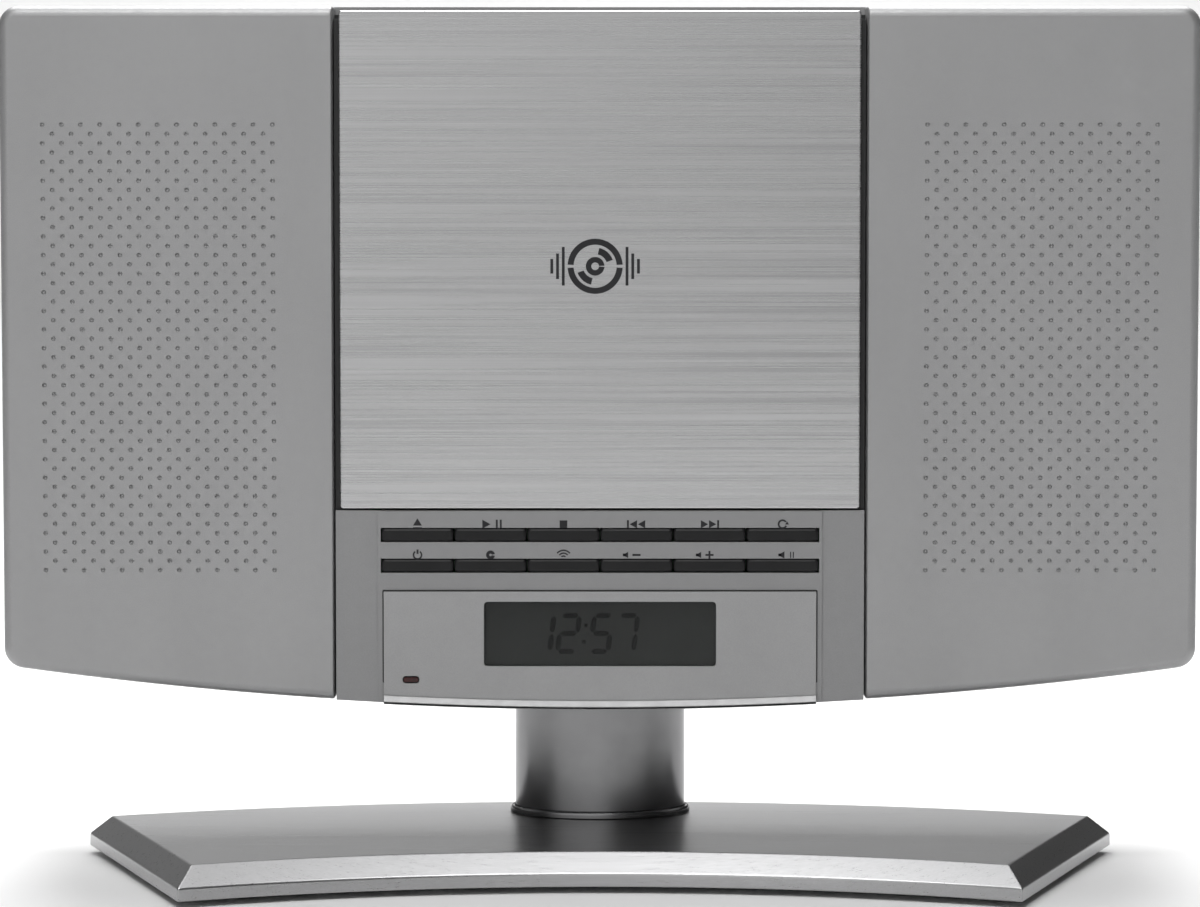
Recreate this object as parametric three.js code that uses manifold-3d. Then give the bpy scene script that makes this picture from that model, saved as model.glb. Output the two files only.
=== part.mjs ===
// A slim upright mini hifi system: a curved-bottom body with a speaker at each side, a motor-driven
// sliding door over an upright disc player, two rows of push buttons, a clock display, and an oval
// neck on a crescent base. Millimetres. x is to the right, z is up, and y is the depth behind the
// front plane of the body; the whole group is shifted at the end so that y = 0 is the middle of its depth.
import * as THREE from "three";
import { mergeVertices } from "three/addons/utils/BufferGeometryUtils.js";
import Module from "manifold-3d";

const wasm = await Module();
wasm.setup();

// ---------------------------------------------------------------- driving dimensions
const CLEARANCE = 0.3; // left between two pieces that meet
const RUNNING = 0.15; // radial clearance of a shaft in its bore

const BODY_WIDTH = 370;
const BODY_HEIGHT = 217.1; // from the lowest point of the curved bottom to the top
const BODY_DEPTH = 76;
const BOTTOM_RADIUS = 1310; // the bottom edge is one shallow arc
const TOP_CORNER = 6;
const BOTTOM_CORNER = 6.5;
const SEAM_CORNER = 0.8; // corners next to the centre section
const SHELL_WALL = 2.4;
const FRONT_ROUNDING = 3; // rounding of the front edges
const PANEL_DEPTH = 16; // the front panels' side walls reach this far back
const REAR_TAPER = 9; // how far the back face is drawn in
const REAR_BEVEL = 11; // depth over which it is drawn in

const BASE_DEPTH = 103; // top face, front to back at the middle
const BASE_FRONT_HALF = 121.6;
const BASE_FRONT_SWEEP = 25; // how far the front corners stand forward of the middle
const BASE_REAR_HALF = 155.5;
const BASE_REAR_SWEEP = 31.5; // how far the rear corners lie forward of the middle
const BASE_BEVEL = 6; // sloping band round the top face
const BASE_BAND = 4; // upright band under it
const BASE_REACH = 36; // the base's front middle stands this far in front of the body
const BASE_SKIN = 2.5;
const BASE_PLATE = 3;
const FOOT_RADIUS = 7;
const FOOT_HEIGHT = 2;

const NECK_HEIGHT = 39;
const NECK_HALF_WIDTH = 27.1;
const NECK_HALF_DEPTH = 17.5;
const NECK_Y = 46;
const COLLAR_RIM = 1.3;
const COLLAR_HEIGHT = 2;
const TENON_HALF_WIDTH = 14; // the neck's tongue up into the body
const TENON_HALF_DEPTH = 9;
const TENON_HEIGHT = 9;

const DOOR_WIDTH = 160.6;
const DOOR_GAP = 2; // dark gap between the door and each speaker panel
const DOOR_PLATE = 1.5;
const DOOR_DROP = 1.4; // the door's top edge lies this far under the body's top
const DOOR_TRAVEL = 137;
const FASCIA_HEIGHT = 61.6;
const FASCIA_SIDE_GAP = 0.45;
const DOOR_FOOT_GAP = 0.6; // between the door and the fascia under it

const CARRIER_FRONT = 1.8;
const CARRIER_BACK = 3.6;
const RUNNER_BACK = 6.4;
const RUNNER_WIDTH = 8.5;
const LEG_LENGTH = 50; // the runners reach this far under the door
const LEG_FRONT = 2.8;
const TONGUE_WIDTH = 1.7; // slides in the rails
const TONGUE_FRONT = 3.6;
const TONGUE_BACK = 5.2;

const WELL_FRONT = 7.1;
const WELL_PLATE = 2;
const WELL_RADIUS = 63; // holds a 120 mm disc
const WELL_WALL = 2;
const WELL_DEPTH = 5.4;
const NOTCH_RADIUS = 11;
const LASER_SLOT_END = 61.8;
const LASER_SLOT_HALF = 11;
const HUB_HOLE = 16;

const PRESSURE_ANGLE = THREE.MathUtils.degToRad(25);
const ADDENDUM = 0.8; // in modules
const DEDENDUM = 1.05; // in modules
const BACKLASH = 0.16;
const GEAR_WIDTH = 2.2;
const RACK_MODULE = 0.8;
const RACK_PINION_TEETH = 14;
const TRAIN_MODULE = 0.8;
const DOOR_WHEEL_TEETH = 30;
const IDLER_TEETH = 10;
const SLED_MODULE = 0.75;
const SLED_WHEEL_TEETH = 24;
const SLED_MOTOR_TEETH = 9;
const DRIVE_SHAFT = 2.2;
const POST = 1.5; // fixed pin that a gear turns on
const MOTOR_SHAFT = 1;
const IDLER_PULLEY = 9.5;
const MOTOR_PULLEY = 3;
const PULLEY_HALF_WIDTH = 1.5;
const GROOVE = 0.9;
const GROOVE_HALF_WIDTH = 0.8;
const BELT_WIDTH = 1;
const BELT_THICK = 1.2;
const DOOR_MOTOR_RADIUS = 10.3;
const DOOR_MOTOR_LENGTH = 18;
const SPINDLE_MOTOR_RADIUS = 12;
const SPINDLE_MOTOR_LENGTH = 12;
const SLED_MOTOR_RADIUS = 8;
const SLED_MOTOR_LENGTH = 14;

const SLED_TRAVEL = 32;
const SLED_REST = 24; // the lens's distance from the spindle at rest
const SLED_WIDTH = 22;
const SLED_HALF_HEIGHT = 20.5;
const SLED_THICKNESS = 8.7;
const SLED_RACK_THICK = 5.2;
const ROD_OFFSET = 17;
const ROD_RADIUS = 1.5;

const BUTTON_ROWS = [
  [
    "open_close_button",
    "play_pause_button",
    "stop_button",
    "skip_back_button",
    "skip_forward_button",
    "repeat_button",
  ],
  ["power_button", "source_button", "band_button", "volume_down_button", "volume_up_button", "mute_button"],
];
const BUTTON_PITCH = 22.6;
const BUTTON_HEIGHT = 3.9;
const BUTTON_SPLIT = 0.4; // gap between neighbouring buttons
const BUTTON_ROW_DROP = 7.6; // first row's centre under the fascia's top
const BUTTON_ROW_PITCH = 9.55;
const BUTTON_PROUD = 0.5;
const BUTTON_TRAVEL = 0.8;
const BUTTON_FLANGE = 1;
const SLOT_MARGIN = 0.25;
const SWITCH_SIZE = 3.5;
const SWITCH_HEIGHT = 0.7;
const FASCIA_BACK = 2.4;
const FASCIA_STEP = 0.8; // the fascia's plain sides lie this far behind its middle
const BOARD_FRONT = 8.3;
const BOARD_THICK = 1.6;

const DISPLAY_DROP = 25.1; // display panel's top edge under the fascia's top
const DISPLAY_HALF_WIDTH = 67;
const DISPLAY_CENTRE_DROP = 13.2; // window's centre under the display panel's top edge
const WINDOW_HALF_WIDTH = 35.6;
const WINDOW_HALF_HEIGHT = 9.7;
const LIP_HEIGHT = 2.6;
const LIP_PROUD = 3.4;
const PANEL_FRONT = -1.4;
const PANEL_BACK = -0.3;
const DISPLAY_MARGIN = 0.9; // the display module is this much larger than its window all round
const STANDBY_X = -58.6;
const STANDBY_RISE = 9.1;
const STANDBY_HALF_WIDTH = 2.3;
const STANDBY_HALF_HEIGHT = 0.8;

const DRIVER_RADIUS = 36;
const DRIVER_DROP = 104; // centre under the body's top
const DRIVER_LENGTH = 30;
const CONE_TRAVEL = 1;
const SPEAKER_SHIFT = 2.5; // a speaker sits this far outside the middle of its panel
const GRILLE_WIDTH = 74;
const GRILLE_HEIGHT = 143;
const GRILLE_DROP = 32; // top of the cloth under the body's top

const INLET_X = -60;
const INLET_RISE = 30; // sockets above the body's lowest point
const INLET_HALF_WIDTH = 10.5;
const INLET_HALF_HEIGHT = 6.5;
const PIN_OFFSET = 4.3;
const SOCKETS_X = 52;
const SOCKETS_HALF_WIDTH = 19;
const SOCKETS_HALF_HEIGHT = 7;
const BLOCK_PROUD = 0.4; // the socket blocks stand this far out of the rear shell
const JACK_PITCH = 12;
const JACK_RADIUS = 1.8;
const VENT_COUNT = 6;
const VENT_PITCH = 8;
const MAIN_BOARD_Y = 48;

// ---------------------------------------------------------------- levels and places that follow
const BASE_TOP = FOOT_HEIGHT + BASE_BAND + BASE_BEVEL;
const BODY_BOTTOM = BASE_TOP + NECK_HEIGHT;
const BODY_TOP = BODY_BOTTOM + BODY_HEIGHT;
const BODY_SIDE = BODY_WIDTH / 2;
const ARC_CENTRE_Z = BODY_BOTTOM + BOTTOM_RADIUS;
const DOOR_SIDE = DOOR_WIDTH / 2;
const CENTRE_SIDE = DOOR_SIDE + DOOR_GAP; // inner edge of a speaker panel
const FASCIA_SIDE = CENTRE_SIDE - FASCIA_SIDE_GAP;
const FASCIA_TOP = BODY_BOTTOM + FASCIA_HEIGHT;
const DOOR_BOTTOM = FASCIA_TOP + DOOR_FOOT_GAP;
const DOOR_TOP = BODY_TOP - DOOR_DROP;
const DISC_Z = (DOOR_BOTTOM + DOOR_TOP) / 2;
const SPEAKER_X = (CENTRE_SIDE + BODY_SIDE) / 2 + SPEAKER_SHIFT;
const SPEAKER_Z = BODY_TOP - DRIVER_DROP;
const RACK_PINION_RADIUS = (RACK_MODULE * RACK_PINION_TEETH) / 2;
const RUNNER_OUT = DOOR_SIDE - 1.2;
const RACK_X = RUNNER_OUT - RUNNER_WIDTH; // pitch line of the door's rack
const DRIVE_X = RACK_X - RACK_PINION_RADIUS;
const DRIVE_Z = DOOR_TOP - 26.7;
const IDLER_ANGLE = THREE.MathUtils.degToRad(160);
const IDLER_DISTANCE = (TRAIN_MODULE * (DOOR_WHEEL_TEETH + IDLER_TEETH)) / 2;
const IDLER_X = DRIVE_X + IDLER_DISTANCE * Math.cos(IDLER_ANGLE);
const IDLER_Z = DRIVE_Z + IDLER_DISTANCE * Math.sin(IDLER_ANGLE);
const DOOR_MOTOR_X = IDLER_X - 19.7;
const DOOR_MOTOR_Z = IDLER_Z + 6.7;
const LEG_BOTTOM = DOOR_BOTTOM - LEG_LENGTH;
const WELL_BACK = WELL_FRONT + WELL_PLATE;
const WELL_FLOOR = WELL_FRONT + WELL_DEPTH;
const CUP_BACK = WELL_FLOOR + WELL_WALL;
const FRAME_FRONT = CUP_BACK + 1.7;
const FRAME_BACK = FRAME_FRONT + 1.6;
const PINION_FRONT = RUNNER_BACK - GEAR_WIDTH;
const WHEEL_FRONT = WELL_BACK + 0.7;
const WHEEL_BACK = WHEEL_FRONT + GEAR_WIDTH;
const BELT_Y = CUP_BACK + PULLEY_HALF_WIDTH + 0.6;
const SLED_FRONT = FRAME_BACK + 0.5;
const SLED_BACK = SLED_FRONT + SLED_THICKNESS;
const ROD_Y = SLED_FRONT + 4.2;
const SLED_WHEEL_FRONT = SLED_FRONT + GEAR_WIDTH + 0.4;
const SLED_RACK_Z = DISC_Z - SLED_HALF_HEIGHT - 5;
const SLED_GEAR_X = 46;
const SLED_GEAR_Z = SLED_RACK_Z - RACK_PINION_RADIUS;
const SLED_MOTOR_X = SLED_GEAR_X + (SLED_MODULE * (SLED_WHEEL_TEETH + SLED_MOTOR_TEETH)) / 2;
const BUTTON_BLOCK_SIDE = (BUTTON_ROWS[0].length * BUTTON_PITCH) / 2;
const DISPLAY_TOP = FASCIA_TOP - DISPLAY_DROP;
const DISPLAY_Z = DISPLAY_TOP - DISPLAY_CENTRE_DROP;
const INLET_Z = BODY_BOTTOM + INLET_RISE;
const REAR_STRAIGHT = BODY_DEPTH - REAR_BEVEL;

// ---------------------------------------------------------------- finishes
function finish(color, roughness, metalness) {
  return new THREE.MeshStandardMaterial({ color, roughness, metalness });
}
const FINISH = {
  silver: finish(0xa7a9ab, 0.42, 0.55),
  brushed: finish(0xb4b6b8, 0.34, 0.9),
  button: finish(0x17181a, 0.25, 0.1),
  black: finish(0x202124, 0.6, 0),
  smoked: finish(0x2c2f30, 0.08, 0),
  display: finish(0x4a5049, 0.3, 0),
  steel: finish(0x8d9093, 0.35, 0.9),
  gear: finish(0xdedbd0, 0.55, 0),
  board: finish(0x2e6b41, 0.5, 0),
  rubber: finish(0x1b1b1c, 0.9, 0),
  cone: finish(0x2a2a2c, 0.85, 0),
  lens: finish(0x7a1d1d, 0.15, 0),
  cloth: finish(0x111112, 0.95, 0),
};

// ---------------------------------------------------------------- solids and booleans
function solidOf(geometry) {
  const bare = geometry.clone();
  bare.deleteAttribute("normal");
  bare.deleteAttribute("uv");
  const merged = mergeVertices(bare, 1e-4);
  return new wasm.Manifold(
    new wasm.Mesh({
      numProp: 3,
      vertProperties: new Float32Array(merged.attributes.position.array),
      triVerts: new Uint32Array(merged.index.array),
    }),
  );
}

function geometryOf(solid) {
  const mesh = solid.getMesh();
  const geometry = new THREE.BufferGeometry();
  geometry.setAttribute("position", new THREE.BufferAttribute(new Float32Array(mesh.vertProperties), 3));
  geometry.setIndex(new THREE.BufferAttribute(new Uint32Array(mesh.triVerts), 1));
  geometry.computeVertexNormals();
  return geometry;
}

const join = (first, ...rest) => geometryOf(rest.reduce((a, g) => a.add(solidOf(g)), solidOf(first)));
const cut = (first, ...tools) => geometryOf(tools.reduce((a, g) => a.subtract(solidOf(g)), solidOf(first)));

// ---------------------------------------------------------------- plain shapes
function box(x0, x1, y0, y1, z0, z1) {
  return new THREE.BoxGeometry(x1 - x0, y1 - y0, z1 - z0).translate(
    (x0 + x1) / 2,
    (y0 + y1) / 2,
    (z0 + z1) / 2,
  );
}

function rodY(x, z, radius, y0, y1, sides = 16) {
  return new THREE.CylinderGeometry(radius, radius, y1 - y0, sides).translate(x, (y0 + y1) / 2, z);
}

function rodX(y, z, radius, x0, x1, sides = 12) {
  return new THREE.CylinderGeometry(radius, radius, x1 - x0, sides)
    .rotateZ(Math.PI / 2)
    .translate((x0 + x1) / 2, y, z);
}

function rodZ(x, y, radius, z0, z1, sides = 16) {
  return new THREE.CylinderGeometry(radius, radius, z1 - z0, sides)
    .rotateX(Math.PI / 2)
    .translate(x, y, (z0 + z1) / 2);
}

// An (x, z) outline pushed back from y0 to y1.
function slab(points, y0, y1) {
  return new THREE.ExtrudeGeometry(new THREE.Shape(points), { depth: y1 - y0, bevelEnabled: false })
    .rotateX(Math.PI / 2)
    .translate(0, y1, 0);
}

// A profile of [radius, y] pairs turned round the y axis.
function turned(profile, x, z, sides = 20) {
  const points = profile.map(([r, y]) => new THREE.Vector2(r, y));
  return new THREE.LatheGeometry(points, sides).translate(x, 0, z);
}

function roundedRect(x0, x1, z0, z1, radius, steps = 2) {
  const corners = [
    [x1 - radius, z0 + radius, -90],
    [x1 - radius, z1 - radius, 0],
    [x0 + radius, z1 - radius, 90],
    [x0 + radius, z0 + radius, 180],
  ];
  return corners.flatMap(([cx, cz, start]) =>
    arcPoints(cx, cz, radius, degrees(start), degrees(start + 90), steps),
  );
}

const degrees = (angle) => THREE.MathUtils.degToRad(angle);

function arcPoints(cx, cy, radius, start, end, steps) {
  return Array.from({ length: steps + 1 }, (_, i) => {
    const a = start + ((end - start) * i) / steps;
    return new THREE.Vector2(cx + radius * Math.cos(a), cy + radius * Math.sin(a));
  });
}

const ellipsePoints = (cx, cy, a, b, steps = 32) =>
  Array.from({ length: steps }, (_, i) => {
    const t = (2 * Math.PI * i) / steps;
    return new THREE.Vector2(cx + a * Math.cos(t), cy + b * Math.sin(t));
  });

// Joins outlines of equal point count, [{ w, outline }] with w rising, into one closed solid.
function loft(sections) {
  const count = sections[0].outline.length;
  const position = [];
  const point = (k, i) => {
    const p = sections[k].outline[i % count];
    return [p.x, p.y, sections[k].w];
  };
  const face = (...corners) => corners.forEach((c) => position.push(...c));
  for (let k = 0; k + 1 < sections.length; k++)
    for (let i = 0; i < count; i++) {
      face(point(k, i), point(k, i + 1), point(k + 1, i + 1));
      face(point(k, i), point(k + 1, i + 1), point(k + 1, i));
    }
  const last = sections.length - 1;
  for (const [a, b, c] of THREE.ShapeUtils.triangulateShape(sections[0].outline, [])) {
    face(point(0, c), point(0, b), point(0, a));
  }
  for (const [a, b, c] of THREE.ShapeUtils.triangulateShape(sections[last].outline, [])) {
    face(point(last, a), point(last, b), point(last, c));
  }
  const geometry = new THREE.BufferGeometry();
  geometry.setAttribute("position", new THREE.Float32BufferAttribute(position, 3));
  geometry.computeVertexNormals();
  return geometry;
}

// A loft through (x, z) outlines given front to back as [depth, outline].
const loftBack = (...sections) =>
  loft([...sections].reverse().map(([y, outline]) => ({ w: -y, outline }))).rotateX(Math.PI / 2);

// ---------------------------------------------------------------- the body's outline
// The front view outline between two upright sides, drawn in by inset, anticlockwise from the front.
function bodyOutline(left, right, inset = 0) {
  const atSide = (x) => Math.abs(Math.abs(x) - BODY_SIDE) < 0.01;
  const radius = (x, outer) => (atSide(x) ? Math.max(outer - inset, 2) : SEAM_CORNER);
  const arcRadius = BOTTOM_RADIUS - inset;
  const top = BODY_TOP - inset;
  const bottomCorner = (x, side) => {
    const r = radius(x, BOTTOM_CORNER);
    const cx = x - side * (inset + r);
    const cz = ARC_CENTRE_Z - Math.sqrt((arcRadius - r) ** 2 - cx ** 2);
    const away = Math.atan2(cz - ARC_CENTRE_Z, cx);
    return { cx, cz, r, away };
  };
  const a = bottomCorner(left, -1);
  const b = bottomCorner(right, 1);
  const rt = radius(right, TOP_CORNER);
  const lt = radius(left, TOP_CORNER);
  return [
    ...arcPoints(a.cx, a.cz, a.r, -Math.PI, a.away, 4),
    ...arcPoints(0, ARC_CENTRE_Z, arcRadius, a.away, b.away, 8).slice(1, -1),
    ...arcPoints(b.cx, b.cz, b.r, b.away, 0, 4),
    ...arcPoints(right - inset - rt, top - rt, rt, 0, Math.PI / 2, 4),
    ...arcPoints(left + inset + lt, top - lt, lt, Math.PI / 2, Math.PI, 4),
  ];
}

const bottomAt = (x, up = 0) => ARC_CENTRE_Z - Math.sqrt((BOTTOM_RADIUS - up) ** 2 - x ** 2);

// Start and end angles of a bottom arc that reaches half to each side.
function arcSpan(half, radius) {
  const reach = Math.asin(half / radius);
  return [-Math.PI / 2 - reach, -Math.PI / 2 + reach];
}

// The strip between two arcs, raised by low and by high over the bottom.
function bottomStrip(half, low, high) {
  const lower = BOTTOM_RADIUS - low;
  const upper = BOTTOM_RADIUS - high;
  return [
    ...arcPoints(0, ARC_CENTRE_Z, lower, ...arcSpan(half, lower), 8),
    ...arcPoints(0, ARC_CENTRE_Z, upper, ...arcSpan(half, upper), 8).reverse(),
  ];
}

// ---------------------------------------------------------------- speaker panels and drivers
function speakerPanel(side) {
  const [left, right] = side < 0 ? [-BODY_SIDE, -CENTRE_SIDE] : [CENTRE_SIDE, BODY_SIDE];
  const rim = (inset) => bodyOutline(left, right, inset);
  const outside = loftBack(
    [0, rim(FRONT_ROUNDING)],
    [FRONT_ROUNDING * 0.3, rim(FRONT_ROUNDING * 0.3)],
    [FRONT_ROUNDING, rim(0)],
    [PANEL_DEPTH, rim(0)],
  );
  const inside = loftBack([SHELL_WALL, rim(SHELL_WALL)], [PANEL_DEPTH + 1, rim(SHELL_WALL)]);
  return cut(outside, inside);
}

function grilleCloth(side) {
  const x = side * SPEAKER_X;
  const y = SHELL_WALL + CLEARANCE;
  const top = BODY_TOP - GRILLE_DROP;
  return box(x - GRILLE_WIDTH / 2, x + GRILLE_WIDTH / 2, y, y + 0.6, top - GRILLE_HEIGHT, top);
}

// Pressed basket with its magnet at the back.
function driverFrame(side) {
  const front = SHELL_WALL + 1.9;
  const back = front + DRIVER_LENGTH;
  const r = DRIVER_RADIUS;
  const magnet = r - 13;
  return turned(
    [
      [r - 5, front],
      [r, front],
      [r, front + 1.6],
      [r - 4, front + 1.8],
      [r - 4, front + 6],
      [magnet - 2, back - 13],
      [magnet, back - 13],
      [magnet, back],
      [0, back],
      [0, back - 11.4],
      [magnet - 4, back - 11.4],
      [r - 6, front + 5.5],
      [r - 5, front],
    ],
    side * SPEAKER_X,
    SPEAKER_Z,
  );
}

// Paper cone with its rolled surround and dust cap; it moves CONE_TRAVEL each way.
function driverCone(side) {
  const front = SHELL_WALL + 1.4 + CONE_TRAVEL;
  const edge = DRIVER_RADIUS - 6.6;
  return turned(
    [
      [0, front + 5.4],
      [6, front + 6],
      [9, front + 8.2],
      [edge - 4, front + 1.4],
      [edge - 2, front],
      [edge, front + 1.2],
      [edge, front + 2.2],
      [edge - 3, front + 2.2],
      [10, front + 9.4],
      [9, front + 14.4],
      [8, front + 14.4],
      [8, front + 9],
      [0, front + 7],
    ],
    side * SPEAKER_X,
    SPEAKER_Z,
  );
}

// ---------------------------------------------------------------- door, its carrier and rails
function doorPlate() {
  const rim = (inset) =>
    roundedRect(-DOOR_SIDE + inset, DOOR_SIDE - inset, DOOR_BOTTOM + inset, DOOR_TOP - inset, 1, 2);
  return loftBack([0, rim(0.6)], [0.25, rim(0.15)], [0.6, rim(0)], [DOOR_PLATE, rim(0)]);
}

// Teeth along u, pointing to +v from a bar whose back is at v = -back; a gap is centred on u = mesh.
function rackOutline(from, to, mesh, module, back) {
  const pitch = Math.PI * module;
  const addendum = ADDENDUM * module;
  const dedendum = DEDENDUM * module;
  const half = pitch / 4 - BACKLASH / 2;
  const slope = Math.tan(PRESSURE_ANGLE);
  const first = Math.ceil((from - mesh) / pitch);
  const last = Math.floor((to - mesh) / pitch) - 1;
  const points = [[from, -back], [to, -back], [to, -dedendum]];
  for (let k = last; k >= first; k--) {
    const centre = mesh + (k + 0.5) * pitch;
    points.push([centre + half + dedendum * slope, -dedendum]);
    points.push([centre + half - addendum * slope, addendum]);
    points.push([centre - half + addendum * slope, addendum]);
    points.push([centre - half - dedendum * slope, -dedendum]);
  }
  points.push([from, -dedendum]);
  return points;
}

function doorCarrier() {
  const top = DOOR_TOP - 2.4;
  const inner = RACK_X + DEDENDUM * RACK_MODULE + 0.4;
  const teeth = rackOutline(
    DRIVE_Z - DOOR_TRAVEL - 3,
    DRIVE_Z + 4,
    DRIVE_Z,
    RACK_MODULE,
    RUNNER_WIDTH - 2,
  ).map(([u, v]) => new THREE.Vector2(RACK_X - v, u));
  const runner = (x0, x1) => box(x0, x1, LEG_FRONT, RUNNER_BACK, LEG_BOTTOM, top);
  const tongue = (x0, x1) => box(x0, x1, TONGUE_FRONT, TONGUE_BACK, LEG_BOTTOM, top);
  return join(
    box(-RUNNER_OUT, RUNNER_OUT, CARRIER_FRONT, CARRIER_BACK, DOOR_BOTTOM + 0.5, DOOR_TOP - 0.6),
    runner(inner, RUNNER_OUT),
    runner(-RUNNER_OUT, -inner),
    tongue(RUNNER_OUT - 0.5, RUNNER_OUT + TONGUE_WIDTH),
    tongue(-RUNNER_OUT - TONGUE_WIDTH, -RUNNER_OUT + 0.5),
    slab(teeth, PINION_FRONT, RUNNER_BACK),
  );
}

// U-shaped rail that a runner's tongue slides in, at the right for side 1.
function doorRail(side) {
  const inner = RUNNER_OUT + 0.4;
  const outer = CENTRE_SIDE - CLEARANCE;
  const bottom = LEG_BOTTOM - 3;
  const top = BODY_TOP - 4;
  const groove = RUNNER_OUT + TONGUE_WIDTH + CLEARANCE;
  const block = (x0, x1, y0, y1, z0, z1) =>
    side > 0 ? box(x0, x1, y0, y1, z0, z1) : box(-x1, -x0, y0, y1, z0, z1);
  return cut(
    block(inner, outer, TONGUE_FRONT - 0.9, TONGUE_BACK + 1.6, bottom, top),
    block(inner - 1, groove, TONGUE_FRONT - CLEARANCE, TONGUE_BACK + CLEARANCE, bottom - 1, top + 1),
  );
}

// ---------------------------------------------------------------- disc well: the chassis behind the door
function discWell() {
  const half = CENTRE_SIDE - 0.4;
  const bottom = FASCIA_TOP + 0.7;
  const top = BODY_TOP - 2.6;
  const solid = join(
    box(-half, half, WELL_FRONT, WELL_BACK, bottom, top),
    box(-half, half, WELL_BACK - 0.5, PANEL_DEPTH, top - 2.4, top),
    rodY(0, DISC_Z, WELL_RADIUS + WELL_WALL, WELL_BACK - 0.5, CUP_BACK, 48),
    rodY(-WELL_RADIUS, DISC_Z, NOTCH_RADIUS + WELL_WALL, WELL_BACK - 0.5, CUP_BACK),
    rodY(WELL_RADIUS, DISC_Z, NOTCH_RADIUS + WELL_WALL, WELL_BACK - 0.5, CUP_BACK),
    rodY(IDLER_X, IDLER_Z, POST, WELL_BACK - 0.5, BELT_Y + PULLEY_HALF_WIDTH),
  );
  return cut(
    solid,
    rodY(0, DISC_Z, WELL_RADIUS, WELL_FRONT - 1, WELL_FLOOR, 48),
    rodY(-WELL_RADIUS, DISC_Z, NOTCH_RADIUS, WELL_FRONT - 1, WELL_FLOOR),
    rodY(WELL_RADIUS, DISC_Z, NOTCH_RADIUS, WELL_FRONT - 1, WELL_FLOOR),
    rodY(0, DISC_Z, HUB_HOLE, WELL_FLOOR - 1, CUP_BACK + 1),
    box(0, LASER_SLOT_END, WELL_FLOOR - 1, CUP_BACK + 1, DISC_Z - LASER_SLOT_HALF, DISC_Z + LASER_SLOT_HALF),
    rodY(DRIVE_X, DRIVE_Z, DRIVE_SHAFT + RUNNING, WELL_FRONT - 1, WELL_BACK + 1),
  );
}

// ---------------------------------------------------------------- gears
const involute = (angle) => Math.tan(angle) - angle;

// Involute gear outline in (x, z), with a tooth centred on the angle phase.
function gearOutline(cx, cz, teeth, module, phase) {
  const pitchRadius = (module * teeth) / 2;
  const baseRadius = pitchRadius * Math.cos(PRESSURE_ANGLE);
  const root = pitchRadius - DEDENDUM * module;
  const tip = pitchRadius + ADDENDUM * module;
  const halfAngle = (r) => {
    const flank = Math.acos(Math.min(1, baseRadius / r));
    return Math.PI / (2 * teeth) - BACKLASH / (2 * pitchRadius) + involute(PRESSURE_ANGLE) - involute(flank);
  };
  const points = [];
  for (let k = 0; k < teeth; k++) {
    const centre = phase + (2 * Math.PI * k) / teeth;
    const at = (r, sign) => {
      const a = centre + sign * halfAngle(r);
      points.push(new THREE.Vector2(cx + r * Math.cos(a), cz + r * Math.sin(a)));
    };
    [root, tip].forEach((r) => at(r, -1));
    [tip, root].forEach((r) => at(r, 1));
  }
  return points;
}

const gear = (x, z, teeth, module, phase, y0, y1) => slab(gearOutline(x, z, teeth, module, phase), y0, y1);
const halfTooth = (teeth) => Math.PI / teeth;

// Flanged pulley with a groove for the belt.
const pulley = (x, z, radius) =>
  turned(
    [
      [0, BELT_Y - PULLEY_HALF_WIDTH],
      [radius, BELT_Y - PULLEY_HALF_WIDTH],
      [radius, BELT_Y - GROOVE_HALF_WIDTH],
      [radius - GROOVE, BELT_Y - GROOVE_HALF_WIDTH],
      [radius - GROOVE, BELT_Y + GROOVE_HALF_WIDTH],
      [radius, BELT_Y + GROOVE_HALF_WIDTH],
      [radius, BELT_Y + PULLEY_HALF_WIDTH],
      [0, BELT_Y + PULLEY_HALF_WIDTH],
    ],
    x,
    z,
  );

// Rack pinion in front of the chassis, wheel behind it, on one shaft through the chassis.
function doorDriveGear() {
  return join(
    gear(DRIVE_X, DRIVE_Z, RACK_PINION_TEETH, RACK_MODULE, 0, PINION_FRONT, RUNNER_BACK),
    rodY(DRIVE_X, DRIVE_Z, DRIVE_SHAFT, RUNNER_BACK - 1, WHEEL_FRONT + 1),
    gear(DRIVE_X, DRIVE_Z, DOOR_WHEEL_TEETH, TRAIN_MODULE, IDLER_ANGLE, WHEEL_FRONT, WHEEL_BACK),
  );
}

function doorIdlerGear() {
  const phase = IDLER_ANGLE + Math.PI + halfTooth(IDLER_TEETH);
  return cut(
    join(
      gear(IDLER_X, IDLER_Z, IDLER_TEETH, TRAIN_MODULE, phase, WHEEL_FRONT, WHEEL_BACK + 0.3),
      rodY(IDLER_X, IDLER_Z, POST + 1.1, WHEEL_BACK, BELT_Y - 1),
      pulley(IDLER_X, IDLER_Z, IDLER_PULLEY),
    ),
    rodY(IDLER_X, IDLER_Z, POST + RUNNING, WHEEL_FRONT - 1, BELT_Y + 2),
  );
}

const doorMotorPulley = () =>
  join(
    pulley(DOOR_MOTOR_X, DOOR_MOTOR_Z, MOTOR_PULLEY),
    rodY(DOOR_MOTOR_X, DOOR_MOTOR_Z, MOTOR_SHAFT, BELT_Y, BELT_Y + 7),
  );

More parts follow.
